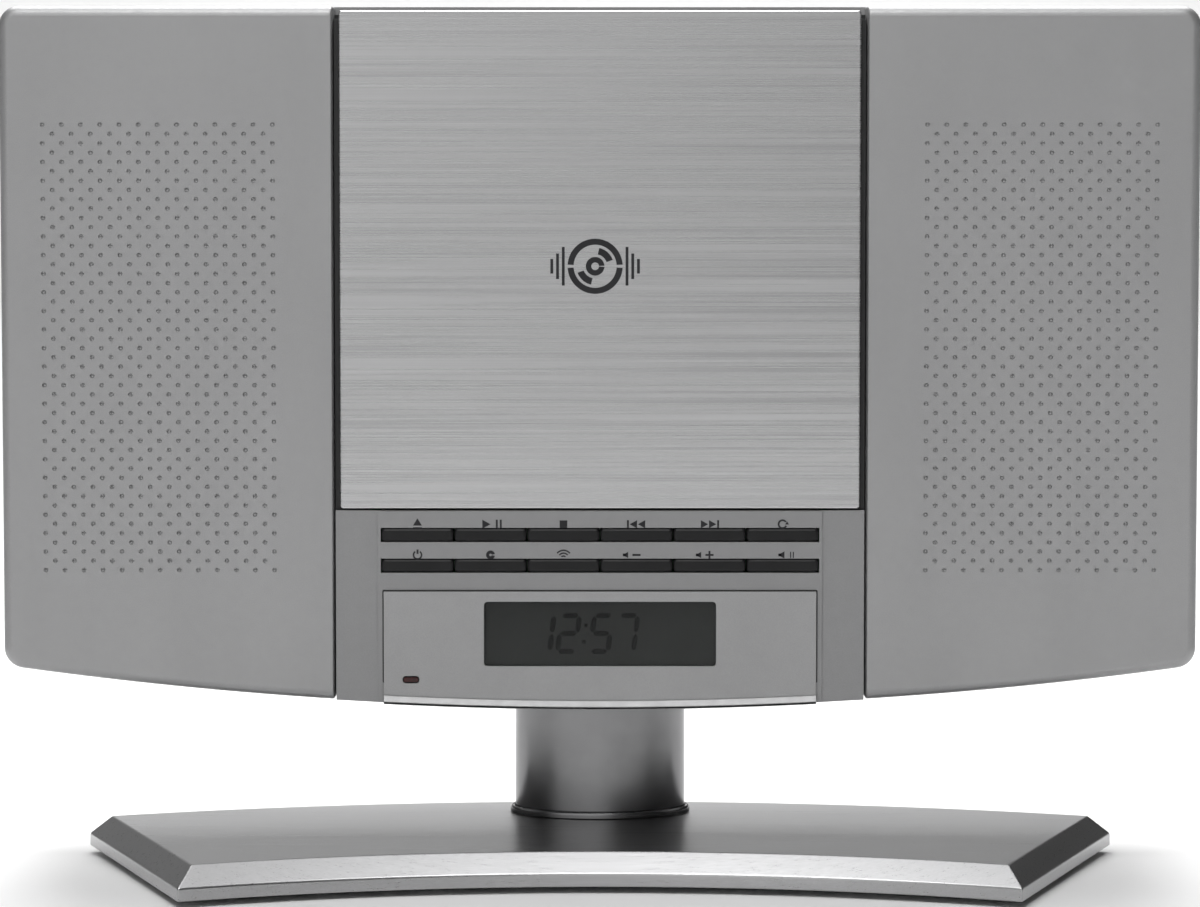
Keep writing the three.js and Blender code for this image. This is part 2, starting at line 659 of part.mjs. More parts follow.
// Small can motor whose shaft bore is open at the front.
const canMotor = (x, z, radius, front, length) =>
  cut(
    turned(
      [
        [0, front],
        [3, front],
        [3, front + 0.8],
        [radius, front + 0.8],
        [radius, front + length],
        [0, front + length],
      ],
      x,
      z,
    ),
    rodY(x, z, MOTOR_SHAFT + RUNNING, front - 1, front + 7),
  );
const doorMotor = () =>
  canMotor(DOOR_MOTOR_X, DOOR_MOTOR_Z, DOOR_MOTOR_RADIUS, BELT_Y + 2, DOOR_MOTOR_LENGTH);
const spindleMotor = () =>
  canMotor(0, DISC_Z, SPINDLE_MOTOR_RADIUS, FRAME_BACK + CLEARANCE, SPINDLE_MOTOR_LENGTH);
const sledMotor = () =>
  canMotor(
    SLED_MOTOR_X,
    SLED_GEAR_Z,
    SLED_MOTOR_RADIUS,
    SLED_WHEEL_FRONT + GEAR_WIDTH + CLEARANCE,
    SLED_MOTOR_LENGTH,
  );

// Belt round the idler's pulley and the motor's, lying in both grooves.
function doorBelt() {
  const dx = IDLER_X - DOOR_MOTOR_X;
  const dz = IDLER_Z - DOOR_MOTOR_Z;
  const distance = Math.hypot(dx, dz);
  const toIdler = Math.atan2(dz, dx);
  const loop = (grow) => {
    const big = IDLER_PULLEY - GROOVE + CLEARANCE + grow;
    const small = MOTOR_PULLEY - GROOVE + CLEARANCE + grow;
    const lean = Math.acos((small - big) / distance);
    return [
      ...arcPoints(IDLER_X, IDLER_Z, big, toIdler - lean, toIdler + lean, 16),
      ...arcPoints(DOOR_MOTOR_X, DOOR_MOTOR_Z, small, toIdler + lean, toIdler + 2 * Math.PI - lean, 8),
    ];
  };
  const ring = (outline, extra) =>
    slab(outline, BELT_Y - BELT_WIDTH / 2 - extra, BELT_Y + BELT_WIDTH / 2 + extra);
  return cut(ring(loop(BELT_THICK), 0), ring(loop(0), 1));
}

// ---------------------------------------------------------------- disc mechanism
function mechanismFrame() {
  const standoff = (x, z) => rodY(x, z, 3, CUP_BACK + CLEARANCE, FRAME_FRONT + 0.5);
  const rodEnd = (x, sign) =>
    box(
      x,
      x + 3,
      FRAME_BACK - 0.5,
      ROD_Y + 3.5,
      DISC_Z + sign * ROD_OFFSET - 3,
      DISC_Z + sign * ROD_OFFSET + 3,
    );
  const rodHole = (sign) => rodX(ROD_Y, DISC_Z + sign * ROD_OFFSET, ROD_RADIUS + RUNNING, 4, 82);
  const plate = join(
    slab(roundedRect(-34, 80, DISC_Z - 46, DISC_Z + 28, 3), FRAME_FRONT, FRAME_BACK),
    standoff(-28, DISC_Z - 22),
    standoff(-28, DISC_Z + 22),
    standoff(40, DISC_Z + 22),
    standoff(40, DISC_Z - 22),
    rodEnd(6, 1),
    rodEnd(6, -1),
    rodEnd(76, 1),
    rodEnd(76, -1),
    rodY(SLED_GEAR_X, SLED_GEAR_Z, POST, FRAME_BACK - 0.5, FRAME_BACK + 6),
  );
  return cut(
    plate,
    rodY(0, DISC_Z, 2.5, FRAME_FRONT - 1, FRAME_BACK + 1),
    box(16, 63, FRAME_FRONT - 1, FRAME_BACK + 1, DISC_Z - 11.5, DISC_Z + 11.5),
    rodHole(1),
    rodHole(-1),
  );
}

// Spindle platter with its centring hub and shaft.
const turntable = () =>
  turned(
    [
      [0, WELL_FRONT - 0.2],
      [5.6, WELL_FRONT - 0.2],
      [7.3, WELL_FRONT + 1.5],
      [7.3, WELL_FLOOR - 2.5],
      [14.5, WELL_FLOOR - 2.5],
      [14.5, WELL_FLOOR - 0.5],
      [MOTOR_SHAFT, WELL_FLOOR - 0.5],
      [MOTOR_SHAFT, FRAME_BACK + 6],
      [0, FRAME_BACK + 6],
    ],
    0,
    DISC_Z,
  );

function pickupSled() {
  const x0 = SLED_REST - SLED_WIDTH / 2;
  const x1 = SLED_REST + SLED_WIDTH / 2;
  const rack = rackOutline(
    SLED_GEAR_X - SLED_TRAVEL - 2,
    SLED_GEAR_X + 2.5,
    SLED_GEAR_X,
    RACK_MODULE,
    SLED_RACK_THICK,
  ).map(([u, v]) => new THREE.Vector2(u, SLED_RACK_Z - v));
  const rodBore = (sign) => rodX(ROD_Y, DISC_Z + sign * ROD_OFFSET, ROD_RADIUS + RUNNING, x0 - 1, x1 + 1);
  return cut(
    join(
      box(x0, x1, SLED_FRONT, SLED_BACK, DISC_Z - SLED_HALF_HEIGHT, DISC_Z + SLED_HALF_HEIGHT),
      rodY(SLED_REST, DISC_Z, 5, WELL_FLOOR - 0.7, SLED_FRONT + 0.5),
      slab(rack.reverse(), SLED_FRONT, SLED_FRONT + GEAR_WIDTH),
    ),
    rodBore(1),
    rodBore(-1),
  );
}
const guideRod = (sign) => rodX(ROD_Y, DISC_Z + sign * ROD_OFFSET, ROD_RADIUS, 6.2, 78.8);

function sledGear() {
  return cut(
    join(
      gear(
        SLED_GEAR_X,
        SLED_GEAR_Z,
        RACK_PINION_TEETH,
        RACK_MODULE,
        Math.PI / 2,
        SLED_FRONT,
        SLED_FRONT + GEAR_WIDTH,
      ),
      rodY(SLED_GEAR_X, SLED_GEAR_Z, 4, SLED_WHEEL_FRONT - 1, SLED_WHEEL_FRONT + 1),
      gear(
        SLED_GEAR_X,
        SLED_GEAR_Z,
        SLED_WHEEL_TEETH,
        SLED_MODULE,
        0,
        SLED_WHEEL_FRONT,
        SLED_WHEEL_FRONT + GEAR_WIDTH,
      ),
    ),
    rodY(SLED_GEAR_X, SLED_GEAR_Z, POST + RUNNING, SLED_FRONT - 1, SLED_WHEEL_FRONT + 4),
  );
}

const sledMotorGear = () =>
  join(
    gear(
      SLED_MOTOR_X,
      SLED_GEAR_Z,
      SLED_MOTOR_TEETH,
      SLED_MODULE,
      Math.PI + halfTooth(SLED_MOTOR_TEETH),
      SLED_WHEEL_FRONT,
      SLED_WHEEL_FRONT + GEAR_WIDTH,
    ),
    rodY(SLED_MOTOR_X, SLED_GEAR_Z, MOTOR_SHAFT, SLED_WHEEL_FRONT + 1, SLED_WHEEL_FRONT + 8),
  );

// ---------------------------------------------------------------- control fascia, buttons and display
const rowZ = (row) => FASCIA_TOP - BUTTON_ROW_DROP - row * BUTTON_ROW_PITCH;
const columnX = (column) => (column - (BUTTON_ROWS[0].length - 1) / 2) * BUTTON_PITCH;

// Plate from the bottom arc, raised by up, to a level top.
const platePoints = (half, top, up = 0) => [
  ...arcPoints(0, ARC_CENTRE_Z, BOTTOM_RADIUS - up, ...arcSpan(half, BOTTOM_RADIUS - up), 8),
  new THREE.Vector2(half, top),
  new THREE.Vector2(-half, top),
];

function controlFascia() {
  const middleSide = BUTTON_BLOCK_SIDE + 1;
  const rowSlot = (row) =>
    box(
      -BUTTON_BLOCK_SIDE - 0.1,
      BUTTON_BLOCK_SIDE + 0.1,
      -1,
      FASCIA_BACK + 1,
      rowZ(row) - BUTTON_HEIGHT / 2 - SLOT_MARGIN,
      rowZ(row) + BUTTON_HEIGHT / 2 + SLOT_MARGIN,
    );
  return cut(
    join(
      slab(platePoints(FASCIA_SIDE, FASCIA_TOP), FASCIA_STEP, FASCIA_BACK),
      slab(platePoints(middleSide, FASCIA_TOP - 0.2, 0.2), 0, FASCIA_BACK - 0.2),
      slab(bottomStrip(FASCIA_SIDE, 0, SHELL_WALL), FASCIA_BACK - 1, PANEL_DEPTH),
      box(
        -BUTTON_BLOCK_SIDE,
        BUTTON_BLOCK_SIDE,
        FASCIA_BACK - 0.5,
        WELL_FRONT - CLEARANCE,
        FASCIA_TOP - 2,
        FASCIA_TOP,
      ),
    ),
    rowSlot(0),
    rowSlot(1),
    moduleBox(DISPLAY_MARGIN + CLEARANCE, -1, FASCIA_BACK + 1),
  );
}

// Push button: cap, a flange behind the fascia that stops it, and a stem to its switch.
function pushButton(row, column) {
  const x = columnX(column);
  const z = rowZ(row);
  const halfWidth = (BUTTON_PITCH - BUTTON_SPLIT) / 2;
  const halfHeight = BUTTON_HEIGHT / 2;
  const flangeFront = FASCIA_BACK + CLEARANCE;
  const stemBack = BOARD_FRONT - SWITCH_HEIGHT - BUTTON_TRAVEL - 0.2;
  const stem = SWITCH_SIZE / 2 - 0.3;
  const rim = (inset) =>
    roundedRect(
      x - halfWidth + inset,
      x + halfWidth - inset,
      z - halfHeight + inset,
      z + halfHeight - inset,
      0.6,
      1,
    );
  return join(
    loftBack([-BUTTON_PROUD, rim(0.5)], [-BUTTON_PROUD + 0.45, rim(0)], [flangeFront + 0.4, rim(0)]),
    box(
      x - halfWidth,
      x + halfWidth,
      flangeFront,
      flangeFront + BUTTON_FLANGE,
      z - halfHeight - 1,
      z + halfHeight + 1,
    ),
    box(x - stem, x + stem, flangeFront + 0.5, stemBack, z - stem, z + stem),
  );
}

// Circuit board with one square switch behind each button.
function controlBoard() {
  const bottom = DISPLAY_Z - WINDOW_HALF_HEIGHT - 1;
  const half = SWITCH_SIZE / 2;
  const switches = BUTTON_ROWS.flatMap((names, row) =>
    names.map((_, column) => {
      const x = columnX(column);
      const z = rowZ(row);
      return box(x - half, x + half, BOARD_FRONT - SWITCH_HEIGHT, BOARD_FRONT + 0.5, z - half, z + half);
    }),
  );
  return join(
    box(
      -BUTTON_BLOCK_SIDE - 0.8,
      BUTTON_BLOCK_SIDE + 0.8,
      BOARD_FRONT,
      BOARD_FRONT + BOARD_THICK,
      bottom,
      FASCIA_TOP - 1.4,
    ),
    ...switches,
  );
}

function displayPanel() {
  const lipBottom = bottomStrip(DISPLAY_HALF_WIDTH, 0, LIP_HEIGHT);
  const lipFront = bottomStrip(DISPLAY_HALF_WIDTH, 0, LIP_HEIGHT * 0.35);
  return cut(
    join(
      slab(platePoints(DISPLAY_HALF_WIDTH, DISPLAY_TOP), PANEL_FRONT, PANEL_BACK),
      loftBack([-LIP_PROUD, lipFront], [PANEL_FRONT + 0.4, lipBottom]),
    ),
    slab(windowOutline(CLEARANCE), PANEL_FRONT - 1, PANEL_BACK + 1),
    slab(standbyOutline(CLEARANCE), PANEL_FRONT - 1, PANEL_BACK + 1),
  );
}

// Rounded rectangle about (x, z), grown outwards.
const openingOutline = (x, z, halfWidth, halfHeight, grow) =>
  roundedRect(
    x - halfWidth - grow,
    x + halfWidth + grow,
    z - halfHeight - grow,
    z + halfHeight + grow,
    0.6 + grow,
  );
const windowOutline = (grow) =>
  openingOutline(0, DISPLAY_Z, WINDOW_HALF_WIDTH, WINDOW_HALF_HEIGHT, grow);
const standbyOutline = (grow) =>
  openingOutline(STANDBY_X, BODY_BOTTOM + STANDBY_RISE, STANDBY_HALF_WIDTH, STANDBY_HALF_HEIGHT, grow);

const displayWindow = () => slab(windowOutline(0), PANEL_FRONT + 0.3, -0.1);
const standbyLens = () => slab(standbyOutline(0), PANEL_FRONT - 0.1, PANEL_BACK - 0.1);
const moduleBox = (grow, front, back) =>
  box(
    -WINDOW_HALF_WIDTH - grow,
    WINDOW_HALF_WIDTH + grow,
    front,
    back,
    DISPLAY_Z - WINDOW_HALF_HEIGHT - grow,
    DISPLAY_Z + WINDOW_HALF_HEIGHT + grow,
  );
const displayModule = () => moduleBox(DISPLAY_MARGIN, FASCIA_STEP, BOARD_FRONT - SWITCH_HEIGHT);

// ---------------------------------------------------------------- rear shell and what it holds
function rearShell() {
  const rim = (inset) => bodyOutline(-BODY_SIDE, BODY_SIDE, inset);
  const start = PANEL_DEPTH + CLEARANCE;
  const middle = (REAR_STRAIGHT + BODY_DEPTH) / 2 + 1;
  const outside = loftBack(
    [start, rim(0)],
    [REAR_STRAIGHT, rim(0)],
    [middle, rim(REAR_TAPER * 0.3)],
    [BODY_DEPTH, rim(REAR_TAPER)],
  );
  const inside = loftBack(
    [start - 1, rim(SHELL_WALL)],
    [REAR_STRAIGHT, rim(SHELL_WALL)],
    [middle - SHELL_WALL / 2, rim(REAR_TAPER * 0.3 + SHELL_WALL)],
    [BODY_DEPTH - SHELL_WALL, rim(REAR_TAPER + SHELL_WALL)],
  );
  const vents = [-1, 1].flatMap((side) =>
    Array.from({ length: VENT_COUNT }, (_, i) => {
      const z = DISC_Z + i * VENT_PITCH;
      return box(side * 46 - 28, side * 46 + 28, BODY_DEPTH - 8, BODY_DEPTH + 1, z - 1.3, z + 1.3);
    }),
  );
  return cut(
    outside,
    inside,
    ...vents,
    rearCutout(INLET_X, INLET_HALF_WIDTH, INLET_HALF_HEIGHT),
    rearCutout(SOCKETS_X, SOCKETS_HALF_WIDTH, SOCKETS_HALF_HEIGHT),
    tenonStack(CLEARANCE, BODY_BOTTOM - 2, BODY_BOTTOM + 6),
  );
}

const rearCutout = (x, halfWidth, halfHeight) =>
  box(
    x - halfWidth - CLEARANCE,
    x + halfWidth + CLEARANCE,
    BODY_DEPTH - 9,
    BODY_DEPTH + 1,
    INLET_Z - halfHeight - CLEARANCE,
    INLET_Z + halfHeight + CLEARANCE,
  );

// Block set into the rear shell, its face just proud of it.
const rearBlock = (x, halfWidth, halfHeight) =>
  box(
    x - halfWidth,
    x + halfWidth,
    BODY_DEPTH - 16,
    BODY_DEPTH + BLOCK_PROUD,
    INLET_Z - halfHeight,
    INLET_Z + halfHeight,
  );

// Two-pin mains inlet: a block with a figure-of-eight socket and its pins.
function mainsInlet() {
  const socketFront = BODY_DEPTH - 11.6;
  const lobe = (x) => rodY(x, INLET_Z, 3.9, socketFront, BODY_DEPTH + 1);
  const pin = (x) => rodY(x, INLET_Z, 1.2, socketFront - 1, BODY_DEPTH - 2.6, 12);
  const left = INLET_X - PIN_OFFSET;
  const right = INLET_X + PIN_OFFSET;
  return join(
    cut(
      rearBlock(INLET_X, INLET_HALF_WIDTH, INLET_HALF_HEIGHT),
      lobe(left),
      lobe(right),
      box(left, right, socketFront, BODY_DEPTH + 1, INLET_Z - 3.6, INLET_Z + 3.6),
    ),
    pin(left),
    pin(right),
  );
}

// Block with the aerial socket and two audio jacks.
function socketBlock() {
  const jack = (x) => rodY(x, INLET_Z, JACK_RADIUS, BODY_DEPTH - 11, BODY_DEPTH + 1);
  return cut(
    rearBlock(SOCKETS_X, SOCKETS_HALF_WIDTH, SOCKETS_HALF_HEIGHT),
    jack(SOCKETS_X - JACK_PITCH),
    jack(SOCKETS_X),
    jack(SOCKETS_X + JACK_PITCH),
  );
}

const mainBoard = () =>
  box(-78, 78, MAIN_BOARD_Y, MAIN_BOARD_Y + BOARD_THICK, INLET_Z + 12, DISC_Z + 4);

// Laminated core with its winding through the middle.
const transformer = () =>
  join(
    box(-76, -34, 19, 45, BODY_BOTTOM + 12, BODY_BOTTOM + 47),
    box(-69, -41, 17, 47, BODY_BOTTOM + 17, BODY_BOTTOM + 42),
  );

function heatsink() {
  const y0 = MAIN_BOARD_Y + BOARD_THICK + CLEARANCE;
  const left = 30;
  const pitch = 5;
  const fin = 1.6;
  const count = 7;
  const bottom = DISC_Z - 45;
  const top = DISC_Z - 8;
  const fins = Array.from({ length: count }, (_, i) =>
    box(left + i * pitch, left + i * pitch + fin, y0 + 2, y0 + 15, bottom, top),
  );
  return join(box(left, left + (count - 1) * pitch + fin, y0, y0 + 2.4, bottom, top), ...fins);
}

// ---------------------------------------------------------------- neck and base
const ellipseStack = (...sections) =>
  loft(sections.map(([z, a, b]) => ({ w: z, outline: ellipsePoints(0, NECK_Y, a, b) })));
const tenonStack = (grow, z0, z1) =>
  ellipseStack(
    [z0, TENON_HALF_WIDTH + grow, TENON_HALF_DEPTH + grow],
    [z1, TENON_HALF_WIDTH + grow, TENON_HALF_DEPTH + grow],
  );

const neckColumn = () =>
  join(
    ellipseStack(
      [BASE_TOP + CLEARANCE, NECK_HALF_WIDTH, NECK_HALF_DEPTH],
      [BODY_BOTTOM - CLEARANCE, NECK_HALF_WIDTH, NECK_HALF_DEPTH],
    ),
    tenonStack(0, BODY_BOTTOM - 2, BODY_BOTTOM + TENON_HEIGHT),
  );

function neckCollar() {
  const a = NECK_HALF_WIDTH + CLEARANCE;
  const b = NECK_HALF_DEPTH + CLEARANCE;
  const z = BASE_TOP + CLEARANCE;
  return cut(
    ellipseStack(
      [z, a + COLLAR_RIM, b + COLLAR_RIM],
      [z + COLLAR_HEIGHT - 0.6, a + COLLAR_RIM, b + COLLAR_RIM],
      [z + COLLAR_HEIGHT, a + COLLAR_RIM - 0.6, b + COLLAR_RIM - 0.6],
    ),
    ellipseStack([z - 1, a, b], [z + COLLAR_HEIGHT + 1, a, b]),
  );
}

// Steel plate inside the body that clamps the neck's tenon.
function neckBracket() {
  const half = TENON_HALF_WIDTH + 18;
  const depth = TENON_HALF_DEPTH + 6;
  const z = bottomAt(half, SHELL_WALL) + CLEARANCE;
  return cut(
    box(-half, half, NECK_Y - depth, NECK_Y + depth, z, z + 2),
    tenonStack(CLEARANCE, z - 1, z + 3),
  );
}

const sagRadius = (half, sweep) => (half ** 2 + sweep ** 2) / (2 * sweep);

// Plan outline of the base, grown outwards: hollow front arc, two slanting ends, full rear arc.
function baseOutline(grow = 0) {
  const frontMiddle = -BASE_REACH;
  const rearMiddle = frontMiddle + BASE_DEPTH;
  const frontRadius = sagRadius(BASE_FRONT_HALF, BASE_FRONT_SWEEP);
  const rearRadius = sagRadius(BASE_REAR_HALF, BASE_REAR_SWEEP);
  const front = { y: frontMiddle - frontRadius, r: frontRadius - grow };
  const rear = { y: rearMiddle - rearRadius, r: rearRadius + grow };
  const c = new THREE.Vector2(BASE_FRONT_HALF, frontMiddle - BASE_FRONT_SWEEP);
  const a = new THREE.Vector2(BASE_REAR_HALF, rearMiddle - BASE_REAR_SWEEP);
  const along = a.clone().sub(c).normalize();
  const out = new THREE.Vector2(along.y, -along.x);
  const start = c.clone().addScaledVector(out, grow);
  // Where the slanting end meets an arc's circle, on its +y side.
  const meet = (circle) => {
    const toStart = start.clone().sub(new THREE.Vector2(0, circle.y));
    const b = toStart.dot(along);
    const t = -b + Math.sqrt(b * b - toStart.lengthSq() + circle.r ** 2);
    return start.clone().addScaledVector(along, t);
  };
  const frontCorner = meet(front);
  const rearCorner = meet(rear);
  const angleOf = (p, circle) => Math.atan2(p.y - circle.y, p.x);
  const f = angleOf(frontCorner, front);
  const r = angleOf(rearCorner, rear);
  return [
    ...arcPoints(0, front.y, front.r, Math.PI - f, f, 20),
    ...arcPoints(0, rear.y, rear.r, r, Math.PI - r, 20),
  ];
}

function baseCover() {
  const low = FOOT_HEIGHT;
  const shoulder = low + BASE_BAND;
  return cut(
    loft([
      { w: low, outline: baseOutline(BASE_BEVEL) },
      { w: shoulder, outline: baseOutline(BASE_BEVEL) },
      { w: BASE_TOP, outline: baseOutline(0) },
    ]),
    loft([
      { w: low - 1, outline: baseOutline(BASE_BEVEL - BASE_SKIN) },
      { w: shoulder, outline: baseOutline(BASE_BEVEL - BASE_SKIN) },
      { w: BASE_TOP - BASE_SKIN, outline: baseOutline(-BASE_SKIN) },
    ]),
  );
}

const basePlate = () =>
  loft([
    { w: FOOT_HEIGHT + CLEARANCE, outline: baseOutline(BASE_BEVEL - BASE_SKIN - CLEARANCE) },
    { w: FOOT_HEIGHT + CLEARANCE + BASE_PLATE, outline: baseOutline(BASE_BEVEL - BASE_SKIN - CLEARANCE) },
  ]);

function frontFoot(side) {
  return rodZ(side * (BASE_FRONT_HALF - 14), -BASE_REACH - 8, FOOT_RADIUS, 0, FOOT_HEIGHT);
}
function rearFoot(side) {
  const y = BASE_DEPTH - BASE_REACH - BASE_REAR_SWEEP + 2;
  return rodZ(side * (BASE_REAR_HALF - 26), y, FOOT_RADIUS, 0, FOOT_HEIGHT);
}

// ---------------------------------------------------------------- the assembly
const group = new THREE.Group();
function add(name, geometry, material) {
  const mesh = new THREE.Mesh(geometry, material);
  mesh.name = name;
  group.add(mesh);
}

add("left_speaker_panel", speakerPanel(-1), FINISH.silver);
add("right_speaker_panel", speakerPanel(1), FINISH.silver);
add("left_grille_cloth", grilleCloth(-1), FINISH.cloth);
add("right_grille_cloth", grilleCloth(1), FINISH.cloth);
add("left_driver_frame", driverFrame(-1), FINISH.steel);
add("right_driver_frame", driverFrame(1), FINISH.steel);
add("left_cone", driverCone(-1), FINISH.cone);
add("right_cone", driverCone(1), FINISH.cone);

add("door_plate", doorPlate(), FINISH.brushed);
add("door_carrier", doorCarrier(), FINISH.black);
add("left_door_rail", doorRail(-1), FINISH.black);
add("right_door_rail", doorRail(1), FINISH.black);
add("disc_well", discWell(), FINISH.black);
add("door_drive_gear", doorDriveGear(), FINISH.gear);
add("door_idler_gear", doorIdlerGear(), FINISH.gear);
add("door_belt", doorBelt(), FINISH.rubber);
add("door_motor_pulley", doorMotorPulley(), FINISH.gear);
add("door_motor", doorMotor(), FINISH.steel);

add("mechanism_frame", mechanismFrame(), FINISH.black);
add("turntable", turntable(), FINISH.black);
add("spindle_motor", spindleMotor(), FINISH.steel);
add("pickup_sled", pickupSled(), FINISH.black);
add("upper_guide_rod", guideRod(1), FINISH.steel);
add("lower_guide_rod", guideRod(-1), FINISH.steel);
add("sled_gear", sledGear(), FINISH.gear);
add("sled_motor_gear", sledMotorGear(), FINISH.gear);
add("sled_motor", sledMotor(), FINISH.steel);

add("control_fascia", controlFascia(), FINISH.silver);
BUTTON_ROWS.forEach((names, row) => {
  names.forEach((name, column) => add(name, pushButton(row, column), FINISH.button));
});
add("control_board", controlBoard(), FINISH.board);
add("display_panel", displayPanel(), FINISH.silver);
add("display_window", displayWindow(), FINISH.smoked);
add("display_module", displayModule(), FINISH.display);
add("standby_lens", standbyLens(), FINISH.lens);

add("rear_shell", rearShell(), FINISH.silver);
add("mains_inlet", mainsInlet(), FINISH.black);
add("socket_block", socketBlock(), FINISH.black);
add("main_board", mainBoard(), FINISH.board);
add("transformer", transformer(), FINISH.steel);
add("heatsink", heatsink(), FINISH.steel);

add("neck_column", neckColumn(), FINISH.brushed);
add("neck_collar", neckCollar(), FINISH.brushed);
add("neck_bracket", neckBracket(), FINISH.steel);
add("base_cover", baseCover(), FINISH.brushed);
add("base_plate", basePlate(), FINISH.steel);
add("front_left_foot", frontFoot(-1), FINISH.rubber);
add("front_right_foot", frontFoot(1), FINISH.rubber);
add("rear_left_foot", rearFoot(-1), FINISH.rubber);
add("rear_right_foot", rearFoot(1), FINISH.rubber);

// y = 0 lies halfway between the base's front corners and the rearmost piece.
const depths = [...baseOutline(BASE_BEVEL).map((p) => p.y), BODY_DEPTH + BLOCK_PROUD];
group.position.y = -(Math.min(...depths) + Math.max(...depths)) / 2;

export default group;
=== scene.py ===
"""Looks of a slim upright mini hifi system: pierced speaker panels, a brushed sliding door, two rows of
push buttons, a clock display, a metal neck and a crescent base. Metres, in the frame's own axes."""

import math

import bmesh
import bpy
from bpy.props import FloatProperty, FloatVectorProperty, IntProperty, PointerProperty
from bpy.types import Operator, Panel, PropertyGroup
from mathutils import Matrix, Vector
from mathutils.geometry import tessellate_polygon


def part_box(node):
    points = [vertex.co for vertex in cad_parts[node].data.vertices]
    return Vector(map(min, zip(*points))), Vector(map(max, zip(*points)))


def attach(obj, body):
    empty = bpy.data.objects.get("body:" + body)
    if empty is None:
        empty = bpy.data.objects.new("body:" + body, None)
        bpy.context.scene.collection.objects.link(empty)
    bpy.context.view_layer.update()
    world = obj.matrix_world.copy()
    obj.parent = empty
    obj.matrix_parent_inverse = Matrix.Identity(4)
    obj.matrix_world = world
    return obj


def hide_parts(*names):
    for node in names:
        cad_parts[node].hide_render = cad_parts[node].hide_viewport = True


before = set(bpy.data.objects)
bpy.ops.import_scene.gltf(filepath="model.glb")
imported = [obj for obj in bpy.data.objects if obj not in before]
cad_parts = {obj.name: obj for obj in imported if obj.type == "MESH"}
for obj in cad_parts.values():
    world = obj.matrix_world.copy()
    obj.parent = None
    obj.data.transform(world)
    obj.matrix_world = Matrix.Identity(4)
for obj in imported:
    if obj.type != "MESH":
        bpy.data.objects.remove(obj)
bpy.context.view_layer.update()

bl_info = {
    "name": "Mini Hifi Finisher",
    "version": (1, 0, 0),
    "blender": (4, 5, 0),
    "location": "View3D > Sidebar > Hifi",
    "description": "Dresses the packed frame of a mini hifi system in its finished surfaces",
    "category": "Object",
}

MM = 0.001


# ---------------------------------------------------------------- settings
def length(name, description, default, **options):
    return FloatProperty(name=name, description=description, default=default, unit="LENGTH", **options)


def colour(name, description, default):
    return FloatVectorProperty(
        name=name, description=description, default=default, subtype="COLOR", size=3, min=0.0, max=1.0
    )


class HifiBodySettings(PropertyGroup):
    bottom_radius: length("Bottom radius", "Radius of the body's curved bottom edge", 1.310)
    top_corner: length("Top corner", "Rounding of the outer top corners", 6 * MM)
    bottom_corner: length("Bottom corner", "Rounding of the outer bottom corners", 6.5 * MM)
    seam_corner: length("Seam corner", "Rounding of the corners beside the door", 0.8 * MM)
    front_rounding: length("Front rounding", "Rounding of the body's front edges", 3.0 * MM)
    seam_rounding: length("Seam rounding", "Rounding of the panel edges beside the door", 0.7 * MM)
    wall: length("Wall", "Thickness of the front panels", 2.4 * MM)
    rear_bevel: length("Rear bevel", "Depth over which the rear shell is drawn in", 11 * MM)
    rear_taper: length("Rear taper", "How far the rear face is drawn in", 9 * MM)


class HifiGrilleSettings(PropertyGroup):
    hole: length("Hole", "Diameter of one hole of the pierced field", 1.5 * MM)
    across: length("Across", "Distance between neighbouring holes in a row", 5.9 * MM)
    row: length("Row", "Distance between rows", 2.866 * MM)
    columns: IntProperty(name="Columns", description="Holes in a long row", default=13, min=2)
    rows: IntProperty(name="Rows", description="Rows of holes", default=49, min=3)
    hole_sides: IntProperty(name="Hole sides", description="Sides of one hole", default=12, min=8)
    drop: length("Drop", "Top row under the body's top", 36.4 * MM)
    skin: length("Skin", "Thickness of the pierced field", 0.5 * MM)


class HifiBaseSettings(PropertyGroup):
    depth: length("Depth", "Top face, front to back at the middle", 103 * MM)
    reach: length("Reach", "Front middle in front of the body", 36 * MM)
    front_half: length("Front half", "Half the distance between the front corners", 121.6 * MM)
    front_sweep: length("Front sweep", "How far the front corners stand forward", 25 * MM)
    rear_half: length("Rear half", "Half the distance between the rear corners", 155.5 * MM)
    rear_sweep: length("Rear sweep", "How far the rear corners lie forward", 31.5 * MM)
    bevel: length("Bevel", "Width of the sloping band", 6 * MM)
    band: length("Band", "Height of the upright band", 4 * MM)
    skin: length("Skin", "Thickness of the cover", 2.5 * MM)
    edge: length("Edge", "Rounding of the cover's edges", 0.5 * MM)


class HifiDoorSettings(PropertyGroup):
    edge: length("Edge", "Rounding of the door plate's front edges", 0.45 * MM)
    corner: length("Corner", "Rounding of the door plate's corners", 1.0 * MM)
    emblem_left: length("Emblem left", "Emblem's middle left of the plate's middle", 1.5 * MM)
    emblem_drop: length("Emblem drop", "Emblem's middle under the plate's middle", 1.8 * MM)
    emblem_width: length("Emblem width", "Width of the printed disc emblem", 27.6 * MM)
    emblem_height: length("Emblem height", "Height of the printed disc emblem", 17 * MM)
    print_height: length("Print height", "Thickness of printed marks", 0.03 * MM)


class HifiFinishSettings(PropertyGroup):
    silver: colour("Silver", "Painted shell", (0.335, 0.335, 0.338))
    fascia: colour("Fascia", "Painted control fascia, a shade darker than the shell", (0.27, 0.27, 0.273))
    aluminium: colour("Aluminium", "Brushed door plate", (0.53, 0.53, 0.535))
    polished: colour("Base metal", "Brushed base", (0.43, 0.43, 0.435))
    neck: colour("Neck metal", "Satin neck and collar", (0.21, 0.21, 0.213))
    black: colour("Black", "Buttons and other black mouldings", (0.010, 0.010, 0.0105))
    dark_print: colour("Print", "Printed marks", (0.020, 0.020, 0.022))


